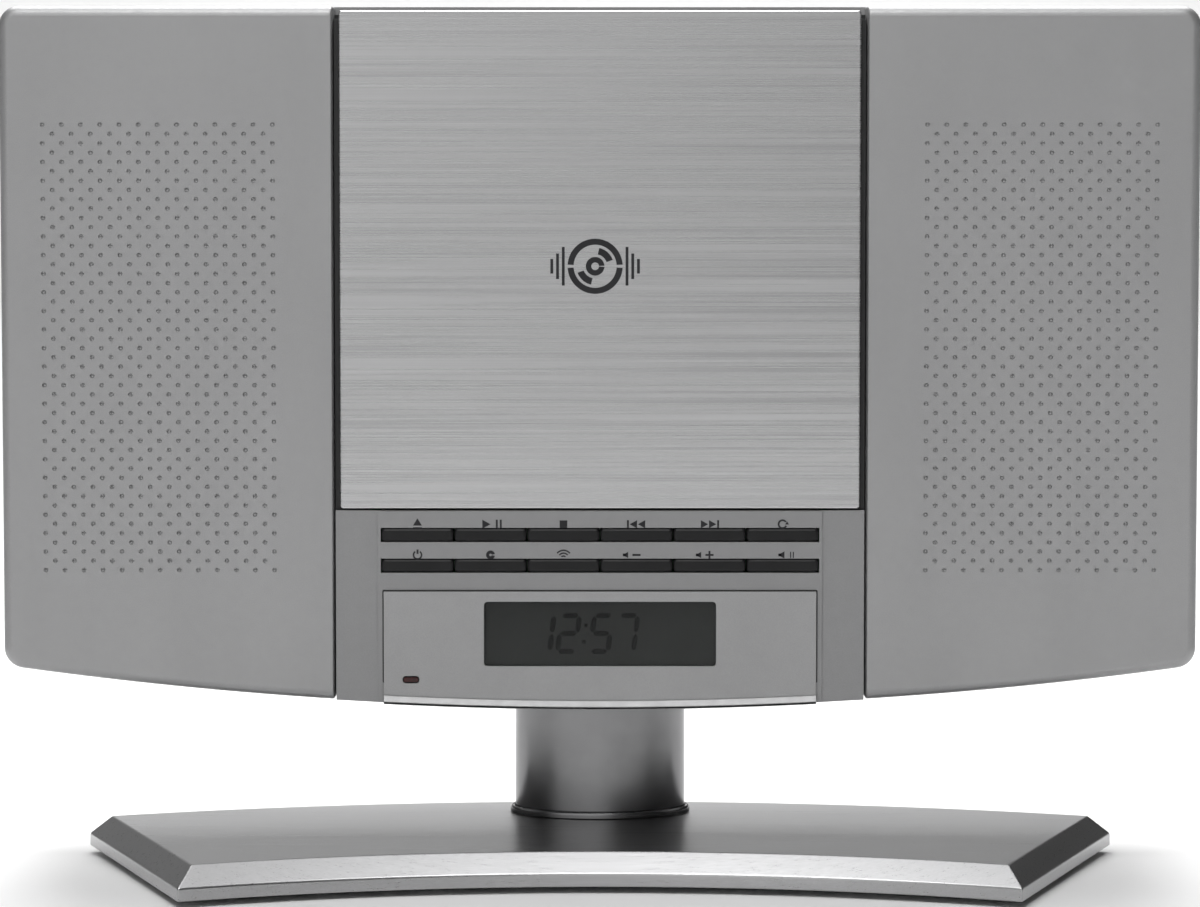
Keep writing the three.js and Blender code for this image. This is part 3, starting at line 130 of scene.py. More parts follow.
class HifiStageSettings(PropertyGroup):
    distance: length("Camera distance", "Camera in front of the body's front", 1.400)
    height: length("Camera height", "Camera above the floor", 0.230)
    tilt: FloatProperty(name="Tilt", description="Camera's downward tilt", default=0.0711, subtype="ANGLE")
    lens: FloatProperty(name="Lens", description="Focal length in mm", default=136.2)
    floor: colour("Floor", "Pale floor and backdrop", (0.86, 0.86, 0.86))


def setting(group):
    return getattr(bpy.context.scene, "hifi_" + group)


# ---------------------------------------------------------------- meshes
def sharpen(work, limit):
    for face in work.faces:
        face.smooth = True
    for edge in work.edges:
        edge.smooth = not (len(edge.link_faces) == 2 and edge.calc_face_angle(0) > limit)


def mesh_object(name, work, look, body, sharp=math.radians(32)):
    """Turns a bmesh into a piece with the named finish, riding on a body."""
    bmesh.ops.recalc_face_normals(work, faces=work.faces)
    sharpen(work, sharp)
    mesh = bpy.data.meshes.new(name)
    work.to_mesh(mesh)
    work.free()
    mesh.materials.append(finish(look))
    piece = bpy.data.objects.new(name, mesh)
    bpy.context.scene.collection.objects.link(piece)
    evened = piece.modifiers.new("even_shading", "WEIGHTED_NORMAL")
    evened.keep_sharp = True
    evened.weight = 100
    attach(piece, body)
    return piece


def add_rings(work, rings, capped=True, closed=False):
    """Skins rings of equally many points, with a cap at both ends or closed into a loop."""
    loops = [[work.verts.new(point) for point in ring] for ring in rings]
    count = len(loops[0])
    pairs = list(zip(loops, loops[1:] + loops[:1])) if closed else list(zip(loops, loops[1:]))
    for near, far in pairs:
        for i in range(count):
            work.faces.new((near[i], near[(i + 1) % count], far[(i + 1) % count], far[i]))
    if capped and not closed:
        work.faces.new(loops[0])
        work.faces.new(loops[-1])
    return loops


def add_block(work, low, high):
    corners = [(low.x, low.y), (high.x, low.y), (high.x, high.y), (low.x, high.y)]
    add_rings(work, [[Vector((x, y, z)) for x, y in corners] for z in (low.z, high.z)])


def add_slab(work, outline, front, back):
    """Pushes an (x, z) outline from front to back."""
    add_rings(work, [[Vector((x, y, z)) for x, z in outline] for y in (front, back)])


def add_turned(work, profile, x, z, sides=48):
    """Turns a closed (radius, y) profile round an axis along Y; a radius of 0 is a point on the axis."""
    loops = []
    for radius, y in profile:
        if radius < 1e-7:
            loops.append([work.verts.new((x, y, z))])
            continue
        angles = [2 * math.pi * i / sides for i in range(sides)]
        ring = [(x + radius * math.cos(a), y, z + radius * math.sin(a)) for a in angles]
        loops.append([work.verts.new(point) for point in ring])
    on_axis = len(loops[0]) == 1 and len(loops[-1]) == 1
    pairs = zip(loops, loops[1:]) if on_axis else zip(loops, loops[1:] + loops[:1])
    for near, far in pairs:
        for i in range(sides):
            j = (i + 1) % sides
            corners = [near[i % len(near)], near[j % len(near)], far[j % len(far)], far[i % len(far)]]
            work.faces.new(list(dict.fromkeys(corners)))


def arc(cx, cz, radius, start, end, steps):
    return [
        (cx + radius * math.cos(start + (end - start) * i / steps),
         cz + radius * math.sin(start + (end - start) * i / steps))
        for i in range(steps + 1)
    ]


def rounded_rectangle(x0, x1, z0, z1, radius, steps=6):
    quarter = math.pi / 2
    return (
        arc(x1 - radius, z0 + radius, radius, -quarter, 0, steps)
        + arc(x1 - radius, z1 - radius, radius, 0, quarter, steps)
        + arc(x0 + radius, z1 - radius, radius, quarter, 2 * quarter, steps)
        + arc(x0 + radius, z0 + radius, radius, 2 * quarter, 3 * quarter, steps)
    )


def scratch_object(work):
    mesh = bpy.data.meshes.new("cutter")
    bmesh.ops.recalc_face_normals(work, faces=work.faces)
    work.to_mesh(mesh)
    work.free()
    piece = bpy.data.objects.new("cutter", mesh)
    bpy.context.scene.collection.objects.link(piece)
    return piece


def baked(piece):
    """A bmesh of the scratch object with its modifiers applied; the object goes."""
    bpy.context.view_layer.update()
    graph = bpy.context.evaluated_depsgraph_get()
    result = bmesh.new()
    result.from_mesh(bpy.data.meshes.new_from_object(piece.evaluated_get(graph)))
    bpy.data.objects.remove(piece)
    return result


def carved(work, cutter, operation="DIFFERENCE"):
    """Returns a bmesh with the cutter taken out of it, or joined to it."""
    body = scratch_object(work)
    tool = scratch_object(cutter)
    change = body.modifiers.new("carve", "BOOLEAN")
    change.operation = operation
    change.solver = "EXACT"
    change.use_self = True
    change.object = tool
    result = baked(body)
    bpy.data.objects.remove(tool)
    return result


def soften(work, width, segments=2, limit=math.radians(25)):
    """Rounds every edge sharper than the limit."""
    bmesh.ops.remove_doubles(work, verts=work.verts, dist=0.004 * MM)
    bmesh.ops.dissolve_limit(work, angle_limit=math.radians(0.1), verts=work.verts, edges=work.edges)
    body = scratch_object(work)
    bevel = body.modifiers.new("soften", "BEVEL")
    bevel.width = width
    bevel.segments = segments
    bevel.limit_method = "ANGLE"
    bevel.angle_limit = limit
    bevel.use_clamp_overlap = True
    return baked(body)


def frame_mesh(node):
    work = bmesh.new()
    work.from_mesh(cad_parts[node].data)
    return work


def softened_node(node, name, look, body, width, segments=2):
    """A copy of a CAD node with rounded edges, standing for it."""
    piece = mesh_object(name, soften(frame_mesh(node), width, segments), look, body)
    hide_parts(node)


# ---------------------------------------------------------------- materials
class Finish:
    """Builds one procedural material, node by node."""

    def __init__(self, name):
        self.material = bpy.data.materials.new(name)
        self.material.use_nodes = True
        self.tree = self.material.node_tree
        self.shader = self.tree.nodes["Principled BSDF"]
        self.place = self.tree.nodes.new("ShaderNodeTexCoord").outputs["Object"]

    def link(self, source, target):
        self.tree.links.new(source, target)

    def stretched(self, scale):
        """The place, scaled evenly by a number or along each axis by three."""
        mapping = self.tree.nodes.new("ShaderNodeMapping")
        if not isinstance(scale, tuple):
            scale = (scale, scale, scale)
        mapping.inputs["Scale"].default_value = scale
        self.link(self.place, mapping.inputs["Vector"])
        return mapping.outputs["Vector"]

    def noise(self, scale, detail=2.0, roughness=0.5):
        node = self.tree.nodes.new("ShaderNodeTexNoise")
        node.inputs["Scale"].default_value = 1.0
        node.inputs["Detail"].default_value = detail
        node.inputs["Roughness"].default_value = roughness
        self.link(self.stretched(scale), node.inputs["Vector"])
        return node.outputs["Fac"]

    def cells(self, scale):
        node = self.tree.nodes.new("ShaderNodeTexVoronoi")
        node.inputs["Scale"].default_value = 1.0
        self.link(self.stretched(scale), node.inputs["Vector"])
        return node.outputs["Distance"]

    def ramp(self, value, low, high, start=0.3, end=0.7):
        node = self.tree.nodes.new("ShaderNodeMapRange")
        node.inputs["From Min"].default_value = start
        node.inputs["From Max"].default_value = end
        node.inputs["To Min"].default_value = low
        node.inputs["To Max"].default_value = high
        self.link(value, node.inputs["Value"])
        return node.outputs["Result"]

    def combine(self, operation, first, second):
        node = self.tree.nodes.new("ShaderNodeMath")
        node.operation = operation
        for source, target in zip((first, second), node.inputs):
            if isinstance(source, (int, float)):
                target.default_value = source
            else:
                self.link(source, target)
        return node.outputs["Value"]

    def tint(self, base, factor):
        """Base colour times a brightness that varies."""
        node = self.tree.nodes.new("ShaderNodeVectorMath")
        node.operation = "SCALE"
        node.inputs[0].default_value = base
        self.link(factor, node.inputs["Scale"])
        self.link(node.outputs["Vector"], self.shader.inputs["Base Color"])

    def rough(self, value):
        self.link(value, self.shader.inputs["Roughness"])

    def rough_between(self, scale, low, high, detail=2.0):
        self.rough(self.ramp(self.noise(scale, detail), low, high))

    def bump(self, height, strength, distance):
        node = self.tree.nodes.new("ShaderNodeBump")
        node.inputs["Strength"].default_value = strength
        node.inputs["Distance"].default_value = distance
        self.link(height, node.inputs["Height"])
        self.link(node.outputs["Normal"], self.shader.inputs["Normal"])

    def set(self, **values):
        for name, value in values.items():
            self.shader.inputs[name.replace("_", " ")].default_value = value
        return self


FINISHES = {}


def finish(name):
    """The named material, made on first use."""
    if name not in FINISHES:
        FINISHES[name] = FINISH_MAKERS[name](name)
    return FINISHES[name]


def metallic_paint(name, base):
    look = Finish(name)
    flake = look.noise(5200, 1.0)
    cloud = look.noise((26, 26, 9), 3.0, 0.55)
    tone = look.combine("MULTIPLY", look.ramp(flake, 0.93, 1.07), look.ramp(cloud, 0.965, 1.03))
    look.tint(base, tone)
    look.rough_between(300, 0.44, 0.52)
    look.bump(look.noise(2600, 2.0), 0.12, 0.02 * MM)
    return look.set(Metallic=0.65, Specular_IOR_Level=0.4).material


def silver_paint(name):
    return metallic_paint(name, setting("finish").silver)


def fascia_paint(name):
    return metallic_paint(name, setting("finish").fascia)


def brushed_metal(name, base, fine_scale, broad_scale, roughness, streak):
    """Metal whose fine and broad lines differ in brightness by the streak share."""
    look = Finish(name)
    fine = look.noise(fine_scale, 2.0, 0.6)
    broad = look.noise(broad_scale, 3.0, 0.65)
    fine_tone = look.ramp(fine, 1 - streak, 1 + streak)
    broad_tone = look.ramp(broad, 1 - streak * 0.6, 1 + streak * 0.6)
    look.tint(base, look.combine("MULTIPLY", fine_tone, broad_tone))
    spread = streak * 0.4
    fine_rough = look.ramp(fine, -spread, spread)
    look.rough(look.combine("ADD", fine_rough, look.ramp(broad, roughness - spread, roughness + spread)))
    look.bump(look.combine("ADD", fine, look.combine("MULTIPLY", broad, 0.3)), 0.12, 0.01 * MM)
    return look.set(Metallic=1.0).material


def door_metal(name):
    return brushed_metal(name, setting("finish").aluminium, (7, 7, 4200), (3, 3, 420), 0.28, 0.09)


def neck_metal(name):
    """Satin metal without a direction."""
    look = Finish(name)
    look.tint(setting("finish").neck, look.ramp(look.noise(900, 2.0), 0.985, 1.015))
    look.rough_between(140, 0.20, 0.24)
    return look.set(Metallic=1.0).material


def base_metal(name):
    return brushed_metal(name, setting("finish").polished, (9, 3600, 3600), (3, 900, 900), 0.30, 0.05)


def moulded(name, base, roughness, grain=0.12, grain_scale=1400, **options):
    look = Finish(name)
    look.tint(base, look.ramp(look.noise(90, 3.0), 0.86, 1.14))
    look.rough_between(240, roughness - 0.05, roughness + 0.05)
    look.bump(look.cells(grain_scale), grain, 0.03 * MM)
    return look.set(**options).material


def black_plastic(name):
    return moulded(name, setting("finish").black, 0.55, 0.2, 1700)


def button_plastic(name):
    return moulded(name, setting("finish").black, 0.34, 0.03, 700, Specular_IOR_Level=0.22)


def dark_print(name):
    return moulded(name, setting("finish").dark_print, 0.6, 0.05, 3000, Specular_IOR_Level=0.2)


def gear_plastic(name):
    return moulded(name, (0.72, 0.70, 0.62), 0.42, 0.06, 900)


def black_rubber(name):
    return moulded(name, (0.018, 0.018, 0.018), 0.82, 0.3, 1200)


def steel(name):
    return brushed_metal(name, (0.50, 0.505, 0.51), 900, 60, 0.32, 0.05)


def plated_steel(name):
    return brushed_metal(name, (0.56, 0.565, 0.56), 420, 35, 0.40, 0.07)


def paper(name):
    return moulded(name, (0.02, 0.02, 0.021), 0.9, 0.5, 2400)


def cloth(name):
    """Fine woven acoustic cloth."""
    look = Finish(name)
    wave = []
    for axis in ("X", "Z"):
        node = look.tree.nodes.new("ShaderNodeTexWave")
        node.bands_direction = axis
        node.inputs["Scale"].default_value = 360
        node.inputs["Distortion"].default_value = 0.4
        look.link(look.place, node.inputs["Vector"])
        wave.append(node.outputs["Fac"])
    weave = look.combine("MULTIPLY", *wave)
    look.tint((0.34, 0.34, 0.343), look.ramp(weave, 0.7, 1.3, 0, 1))
    look.rough(look.ramp(weave, 0.85, 0.98, 0, 1))
    look.bump(weave, 0.6, 0.1 * MM)
    return look.set(Sheen_Weight=0.2, Sheen_Roughness=0.5).material


def circuit_board(name):
    """Green solder mask with faint copper tracks under it."""
    look = Finish(name)
    tracks = look.ramp(look.cells(260), 0.7, 1.5, 0.25, 0.33)
    mottle = look.ramp(look.noise(700, 2.0), 0.9, 1.1)
    look.tint((0.02, 0.105, 0.04), look.combine("MULTIPLY", tracks, mottle))
    look.rough_between(200, 0.3, 0.42)
    look.bump(tracks, 0.3, 0.03 * MM)
    return look.set(Coat_Weight=0.4, Coat_Roughness=0.2).material


def display_ground(name):
    """Liquid crystal's dark grey-green ground."""
    look = Finish(name)
    look.tint((0.038, 0.041, 0.038), look.ramp(look.noise(40, 2.0), 0.92, 1.08))
    look.rough_between(1500, 0.6, 0.7, 1.0)
    look.bump(look.noise(3000, 1.0), 0.04, 0.01 * MM)
    return look.material


def segment_ink(name):
    return moulded(name, (0.002, 0.002, 0.0022), 0.6, 0.02, 3000, Specular_IOR_Level=0.1)


def smoked_glass(name):
    look = Finish(name)
    look.tint((0.66, 0.67, 0.67), look.ramp(look.noise(30, 2.0), 0.97, 1.03))
    look.rough_between(500, 0.05, 0.09)
    look.bump(look.noise(60, 1.0), 0.02, 0.01 * MM)
    return look.set(Transmission_Weight=1.0, IOR=1.22).material


def red_lens(name):
    look = Finish(name)
    look.tint((0.030, 0.005, 0.005), look.ramp(look.cells(900), 0.8, 1.3))
    look.rough_between(600, 0.10, 0.18)
    look.bump(look.cells(900), 0.1, 0.05 * MM)
    return look.set(Specular_IOR_Level=0.3).material


def lens_glass(name):
    look = Finish(name)
    look.tint((0.10, 0.07, 0.22), look.ramp(look.noise(200, 2.0), 0.8, 1.2))
    look.rough_between(600, 0.03, 0.06)
    return look.set(Coat_Weight=1.0, Coat_Roughness=0.02).material


def copper_winding(name):
    look = Finish(name)
    turns = look.noise((30, 30, 2600), 1.0)
    look.tint((0.55, 0.22, 0.09), look.ramp(turns, 0.7, 1.2))
    look.rough(look.ramp(turns, 0.3, 0.45))
    look.bump(turns, 0.6, 0.1 * MM)
    return look.set(Metallic=0.9).material


def pale_floor(name):
    look = Finish(name)
    look.tint(setting("stage").floor, look.ramp(look.noise(3, 3.0), 0.985, 1.015))
    look.rough_between(18, 0.55, 0.65)
    return look.material


FINISH_MAKERS = {
    maker.__name__: maker
    for maker in (
        silver_paint, fascia_paint, door_metal, neck_metal, base_metal, black_plastic, button_plastic,
        dark_print, gear_plastic, black_rubber, steel, plated_steel, paper, cloth, circuit_board,
        display_ground, segment_ink, smoked_glass, red_lens, lens_glass, copper_winding, pale_floor,
    )
}


# ---------------------------------------------------------------- the body's outline
BODY_LOW, BODY_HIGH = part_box("rear_shell")
PLATE_LOW, PLATE_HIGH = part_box("door_plate")
FRONT = PLATE_LOW.y
ROUND_STEPS = 8
ARC_STEPS = 24


def arc_centre_z():
    return BODY_LOW.z + setting("body").bottom_radius


def hub_height():
    """Height of the disc's hub above the floor."""
    return sum(corner.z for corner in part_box("turntable")) / 2


def body_outline(left, right, inset=0.0, seam_inset=0.0):
    """Front-view outline between two upright sides, anticlockwise, drawn in by inset."""
    body = setting("body")
    radius = body.bottom_radius - inset
    top = BODY_HIGH.z - inset

    def side(x, outer):
        outermost = abs(abs(x) - BODY_HIGH.x) < 0.1 * MM
        if outermost:
            return inset, max(outer - inset, 2 * MM)
        return seam_inset, body.seam_corner

    def bottom_corner(x, sign, pulled, corner):
        cx = x - sign * (pulled + corner)
        cz = arc_centre_z() - math.sqrt((radius - corner) ** 2 - cx ** 2)
        return cx, cz, math.atan2(cz - arc_centre_z(), cx)

    left_in, left_corner = side(left, body.bottom_corner)
    right_in, right_corner = side(right, body.bottom_corner)
    ax, az, away_a = bottom_corner(left, -1, left_in, left_corner)
    bx, bz, away_b = bottom_corner(right, 1, right_in, right_corner)
    top_left = side(left, body.top_corner)[1]
    top_right = side(right, body.top_corner)[1]
    return (
        arc(ax, az, left_corner, -math.pi, away_a, ROUND_STEPS)
        + arc(0, arc_centre_z(), radius, away_a, away_b, ARC_STEPS)[1:-1]
        + arc(bx, bz, right_corner, away_b, 0, ROUND_STEPS)
        + arc(right - right_in - top_right, top - top_right, top_right, 0, math.pi / 2, ROUND_STEPS)
        + arc(left + left_in + top_left, top - top_left, top_left, math.pi / 2, math.pi, ROUND_STEPS)
    )


def at_depth(outline, y):
    return [Vector((x, y, z)) for x, z in outline]


def quarter_round(radius, steps):
    """(inset, depth) pairs round a convex edge, from the front face to the side."""
    turns = [math.pi / 2 * i / steps for i in range(steps + 1)]
    return [(radius * (1 - math.sin(t)), radius * (1 - math.cos(t))) for t in turns]


# ---------------------------------------------------------------- speaker panels
class PiercedField:
    """Staggered round holes, each in a lozenge; the lozenges tile the field."""

    def __init__(self, centre_x, top_z):
        grille = setting("grille")
        self.half_across = grille.across / 2
        self.row = grille.row
        self.x = centre_x
        self.z = top_z
        self.sides = grille.hole_sides
        self.radius = grille.hole / 2
        self.cells = [
            (2 * i - (grille.columns - 1) + (row % 2), row)
            for row in range(grille.rows)
            for i in range(grille.columns - row % 2)
        ]

    def point(self, cell, y):
        return Vector((self.x + cell[0] * self.half_across, y, self.z - cell[1] * self.row))

    def corners(self, cell):
        i, row = cell
        return [(i + 1, row), (i, row + 1), (i - 1, row), (i, row - 1)]

    def border(self):
        """The field's outer edge as loops of lozenge corners."""
        edges = set()
        for cell in self.cells:
            ring = self.corners(cell)
            edges.update(zip(ring, ring[1:] + ring[:1]))
        outer = {start: end for start, end in edges if (end, start) not in edges}
        first = min(outer)
        loop = [first]
        while outer[loop[-1]] != first:
            loop.append(outer[loop[-1]])
        return loop

    def add(self, work, front, back, corner_verts):
        """Adds every lozenge with its hole through the panel; corner_verts maps (corner, y) to a vertex."""
        quarter = self.sides // 4
        for cell in self.cells:
            centre = self.point(cell, 0)
            rims = {}
            for y in (front, back):
                rims[y] = []
                for k in range(self.sides):
                    a = -2 * math.pi * k / self.sides
                    spot = (centre.x + self.radius * math.cos(a), y, centre.z + self.radius * math.sin(a))
                    rims[y].append(work.verts.new(spot))
                ring = self.corners(cell)
                for k in range(4):
                    hole = [rims[y][(k * quarter + s) % self.sides] for s in range(quarter, -1, -1)]
                    outer = [corner_verts(ring[k], y), corner_verts(ring[(k + 1) % 4], y)]
                    work.faces.new(outer + hole)
            for k in range(self.sides):
                j = (k + 1) % self.sides
                work.faces.new((rims[front][k], rims[front][j], rims[back][j], rims[back][k]))


def holed_cap(work, outer_loop, inner_loop):
    """Fills the flat face between an outline and a hole's border."""
    verts = outer_loop + inner_loop
    polygons = [[v.co.copy() for v in outer_loop], [v.co.copy() for v in inner_loop]]
    for a, b, c in tessellate_polygon(polygons):
        if len({verts[a], verts[b], verts[c]}) == 3:
            work.faces.new((verts[a], verts[b], verts[c]))


def speaker_panel(side):
    body = setting("body")
    node = f"{side}_speaker_panel"
    low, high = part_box(node)
    cloth_low, cloth_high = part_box(f"{side}_grille_cloth")
    flip = side == "left"
    inner_x, outer_x = (high.x, low.x) if flip else (low.x, high.x)
    left, right = sorted((inner_x, outer_x))
    field = PiercedField((cloth_low.x + cloth_high.x) / 2, BODY_HIGH.z - setting("grille").drop)
    seam_share = body.seam_rounding / body.front_rounding
    rings = []
    for inset, depth in quarter_round(body.front_rounding, 6):
        rings.append(at_depth(body_outline(left, right, inset, inset * seam_share), low.y + depth))
    rim = 0.3 * MM
    stack = [(0, high.y - rim), (rim, high.y), (body.wall, high.y), (body.wall, low.y + body.wall)]
    for inset, y in stack:
        rings.append(at_depth(body_outline(left, right, inset, inset), y))
    work = bmesh.new()
    loops = add_rings(work, rings, capped=False)
    shared = {}

    def corner_vert(corner, y):
        if (corner, y) not in shared:
            shared[corner, y] = work.verts.new(field.point(corner, y))
        return shared[corner, y]

    front = rings[0][0].y
    back = rings[-1][0].y
    thin_back = front + setting("grille").skin
    border = field.border()
    field.add(work, front, thin_back, corner_vert)
    holed_cap(work, loops[0], [corner_vert(c, front) for c in border])
    holed_cap(work, loops[-1], [corner_vert(c, back) for c in border])
    for start, end in zip(border, border[1:] + border[:1]):
        pocket_wall = [(start, thin_back), (end, thin_back), (end, back), (start, back)]
        work.faces.new([corner_vert(corner, y) for corner, y in pocket_wall])
    piece = mesh_object(f"{side}_speaker_shell", work, "silver_paint", "chassis")
    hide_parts(node)
    fabric = bmesh.new()
    outline = rounded_rectangle(cloth_low.x, cloth_high.x, cloth_low.z, cloth_high.z, 2 * MM)
    add_slab(fabric, outline, thin_back + 0.05 * MM, cloth_high.y)
    piece = mesh_object(f"{side}_acoustic_cloth", fabric, "cloth", "chassis")
    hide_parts(f"{side}_grille_cloth")


class HIFI_OT_speaker_panels(Operator):
    """Make both pierced speaker panels with their rounded front edges and the cloth behind them"""

    bl_idname = "hifi.speaker_panels"
    bl_label = "Speaker Panels"

    def execute(self, context):
        for side in ("left", "right"):
            speaker_panel(side)
        return {"FINISHED"}


class HIFI_OT_drivers(Operator):
    """Dress the speaker drivers"""

    bl_idname = "hifi.drivers"
    bl_label = "Speaker Drivers"

    def execute(self, context):
        for side in ("left", "right"):
            frame_node, cone = f"{side}_driver_frame", f"{side}_cone"
            softened_node(frame_node, f"{side}_basket", "plated_steel", "chassis", 0.3 * MM)
            softened_node(cone, f"{side}_paper_cone", "paper", cone, 0.3 * MM)
        return {"FINISHED"}


# ---------------------------------------------------------------- door
def plate_rings(low, high, edge, corner):
    rings = []
    for inset, depth in quarter_round(edge, 4):
        outline = rounded_rectangle(
            low.x + inset, high.x - inset, low.z + inset, high.z - inset, max(corner - inset, 0.2 * MM)
        )
        rings.append(at_depth(outline, low.y + depth))
    outline = rounded_rectangle(low.x, high.x, low.z, high.z, corner)
    rings.append(at_depth(outline, high.y))
    return rings


class HIFI_OT_door(Operator):
    """Make the brushed door plate and the slide behind it"""

    bl_idname = "hifi.door"
    bl_label = "Door"

    def execute(self, context):
        door = setting("door")
        work = bmesh.new()
        add_rings(work, plate_rings(PLATE_LOW, PLATE_HIGH, door.edge, door.corner))
        piece = mesh_object("brushed_door", work, "door_metal", "door")
        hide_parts("door_plate")
        softened_node("door_carrier", "door_slide", "black_plastic", "door", 0.12 * MM, 1)
        return {"FINISHED"}


def printed(name, outlines, front, body, height):
    """Thin printed marks standing on a face; each outline is a closed (x, z) shape."""
    work = bmesh.new()
    for outline in outlines:
        add_slab(work, outline, front - height, front - 0.002 * MM)
    mesh_object(name, work, "dark_print", body)


def ring_sector(cx, cz, inner, outer, start, end, steps):
    return arc(cx, cz, outer, start, end, steps) + arc(cx, cz, inner, end, start, steps)


def bar(cx, cz, width, height):
    return [
        (cx - width / 2, cz - height / 2),
        (cx + width / 2, cz - height / 2),
        (cx + width / 2, cz + height / 2),
        (cx - width / 2, cz + height / 2),
    ]


# inner and outer radius as shares of the emblem's, start angle, turn and steps of each arc
EMBLEM_ARCS = (
    (0.78, 1.0, 0.06, math.pi - 0.12, 32),
    (0.78, 1.0, math.pi + 0.06, math.pi - 0.12, 32),
    (0.14, 0.34, 0.06, 2 * math.pi - 0.12, 32),
    (0.44, 0.68, 0.35, 1.0, 12),
    (0.44, 0.68, math.pi + 0.35, 1.0, 12),
)
# heights of the level bars at each side, outwards, as shares of the emblem's height
EMBLEM_BARS = (0.70, 0.462, 0.266)


class HIFI_OT_door_emblem(Operator):
    """Print a plain disc emblem with a level meter each side on the door"""

    bl_idname = "hifi.door_emblem"
    bl_label = "Door Emblem"

    def execute(self, context):
        door = setting("door")
        cx = (PLATE_LOW.x + PLATE_HIGH.x) / 2 - door.emblem_left
        cz = (PLATE_LOW.z + PLATE_HIGH.z) / 2 - door.emblem_drop
        radius = door.emblem_height / 2
        shapes = []
        for inner, outer, start, turn, steps in EMBLEM_ARCS:
            shapes.append(ring_sector(cx, cz, radius * inner, radius * outer, start, start + turn, steps))
        step = (door.emblem_width / 2 - radius) / len(EMBLEM_BARS)
        for side in (-1, 1):
            for i, share in enumerate(EMBLEM_BARS):
                x = cx + side * (radius + step * (i + 0.75))
                shapes.append(bar(x, cz, step * 0.5, door.emblem_height * share))
        printed("door_emblem", shapes, FRONT, "door", door.print_height)
        return {"FINISHED"}


# ---------------------------------------------------------------- fascia, buttons and their marks
BUTTON_ROWS = (
    ("open_close_button", "play_pause_button", "stop_button", "skip_back_button", "skip_forward_button",
     "repeat_button"),
    ("power_button", "source_button", "band_button", "volume_down_button", "volume_up_button", "mute_button"),
)


MARK_SIZE = 2.8 * MM
MARK_RISE = 0.4 * MM


class HIFI_OT_control_fascia(Operator):
    """Round the control fascia's edges and give it its painted finish"""

    bl_idname = "hifi.control_fascia"
    bl_label = "Control Fascia"

    def execute(self, context):
        softened_node("control_fascia", "fascia", "fascia_paint", "chassis", 0.25 * MM)
        return {"FINISHED"}


class HIFI_OT_buttons(Operator):
    """Make the twelve black buttons"""

    bl_idname = "hifi.buttons"
    bl_label = "Buttons"

    def execute(self, context):
        for row in BUTTON_ROWS:
            for node in row:
                name = node.replace("_button", "_cap")
                softened_node(node, name, "button_plastic", node, 0.3 * MM, 3)
        return {"FINISHED"}


def triangle(cx, cz, size, direction):
    """Solid triangle that points along +X or -X, or up when direction is 0."""
    half = size / 2
    if direction == 0:
        return [(cx - half, cz - half * 0.6), (cx + half, cz - half * 0.6), (cx, cz + half)]
    tail = cx - direction * half * 0.8
    return [(tail, cz - half), (cx + direction * half, cz), (tail, cz + half)]


def mark_shapes(kind, cx, cz, size):
    """The small generic signs over the buttons."""
    thin = size * 0.22
    if kind == "open_close":
        return [triangle(cx, cz + size * 0.15, size, 0), bar(cx, cz - size * 0.45, size, thin)]
    if kind == "play_pause":
        pause = [bar(cx + size * 0.7 + k * thin * 2, cz, thin, size) for k in (0, 1)]
        return [triangle(cx - size * 0.5, cz, size, 1)] + pause
    if kind == "stop":
        return [bar(cx, cz, size * 0.85, size * 0.85)]
    if kind in ("skip_back", "skip_forward"):
        way = -1 if kind == "skip_back" else 1
        return [
            triangle(cx - way * size * 0.6, cz, size * 0.9, way),
            triangle(cx + way * size * 0.3, cz, size * 0.9, way),
            bar(cx + way * size * 0.95, cz, thin, size * 0.9),
        ]
    if kind == "repeat":
        return [
            ring_sector(cx, cz, size * 0.34, size * 0.54, 0.6, 2 * math.pi - 0.4, 18),
            triangle(cx + size * 0.5, cz + size * 0.1, size * 0.45, 0),
        ]
    if kind == "power":
        ring = ring_sector(cx, cz, size * 0.36, size * 0.54, math.pi / 2 + 0.6, math.pi * 2.5 - 0.6, 18)
        return [ring, bar(cx, cz + size * 0.36, thin, size * 0.5)]
    if kind == "source":
        return [ring_sector(cx, cz, size * 0.14, size * 0.5, 0.2, 2 * math.pi - 0.2, 18)]
    if kind == "band":
        return [
            ring_sector(cx, cz - size * 0.4, size * r, size * (r + 0.16), math.pi * 0.22, math.pi * 0.78, 8)
            for r in (0.2, 0.52, 0.84)
        ]
    if kind in ("volume_down", "volume_up"):
        signs = [bar(cx, cz, size * 0.9, thin)]
        if kind == "volume_up":
            signs = plus_sign(cx, cz, size * 0.9, thin)
        return signs + [
            triangle(cx - size * 1.2, cz, size * 0.7, -1),
            bar(cx - size * 1.35, cz, size * 0.3, size * 0.3),
        ]
    crossed = [bar(cx + size * 0.9 + k * size * 0.3, cz, size * 0.12, size * 0.7) for k in (0, 1)]
    horn = [triangle(cx - size * 0.1, cz, size * 0.8, -1), bar(cx - size * 0.3, cz, size * 0.3, size * 0.3)]
    return horn + crossed


def plus_sign(cx, cz, size, thin):
    a = size / 2
    t = thin / 2
    lower = [(-a, -t), (-t, -t), (-t, -a), (t, -a), (t, -t), (a, -t)]
    upper = [(-x, -z) for x, z in lower]
    return [[(cx + x, cz + z) for x, z in lower + upper]]


class HIFI_OT_button_marks(Operator):
    """Print a small sign over each button"""

    bl_idname = "hifi.button_marks"
    bl_label = "Button Marks"

    def execute(self, context):
        height = setting("door").print_height
        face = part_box("control_fascia")[0].y
        for row in BUTTON_ROWS:
            for node in row:
                low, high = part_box(node)
                kind = node.replace("_button", "")
                shapes = mark_shapes(kind, (low.x + high.x) / 2, high.z + MARK_RISE, MARK_SIZE)
                printed(kind + "_mark", shapes, face, "chassis", height)
        return {"FINISHED"}


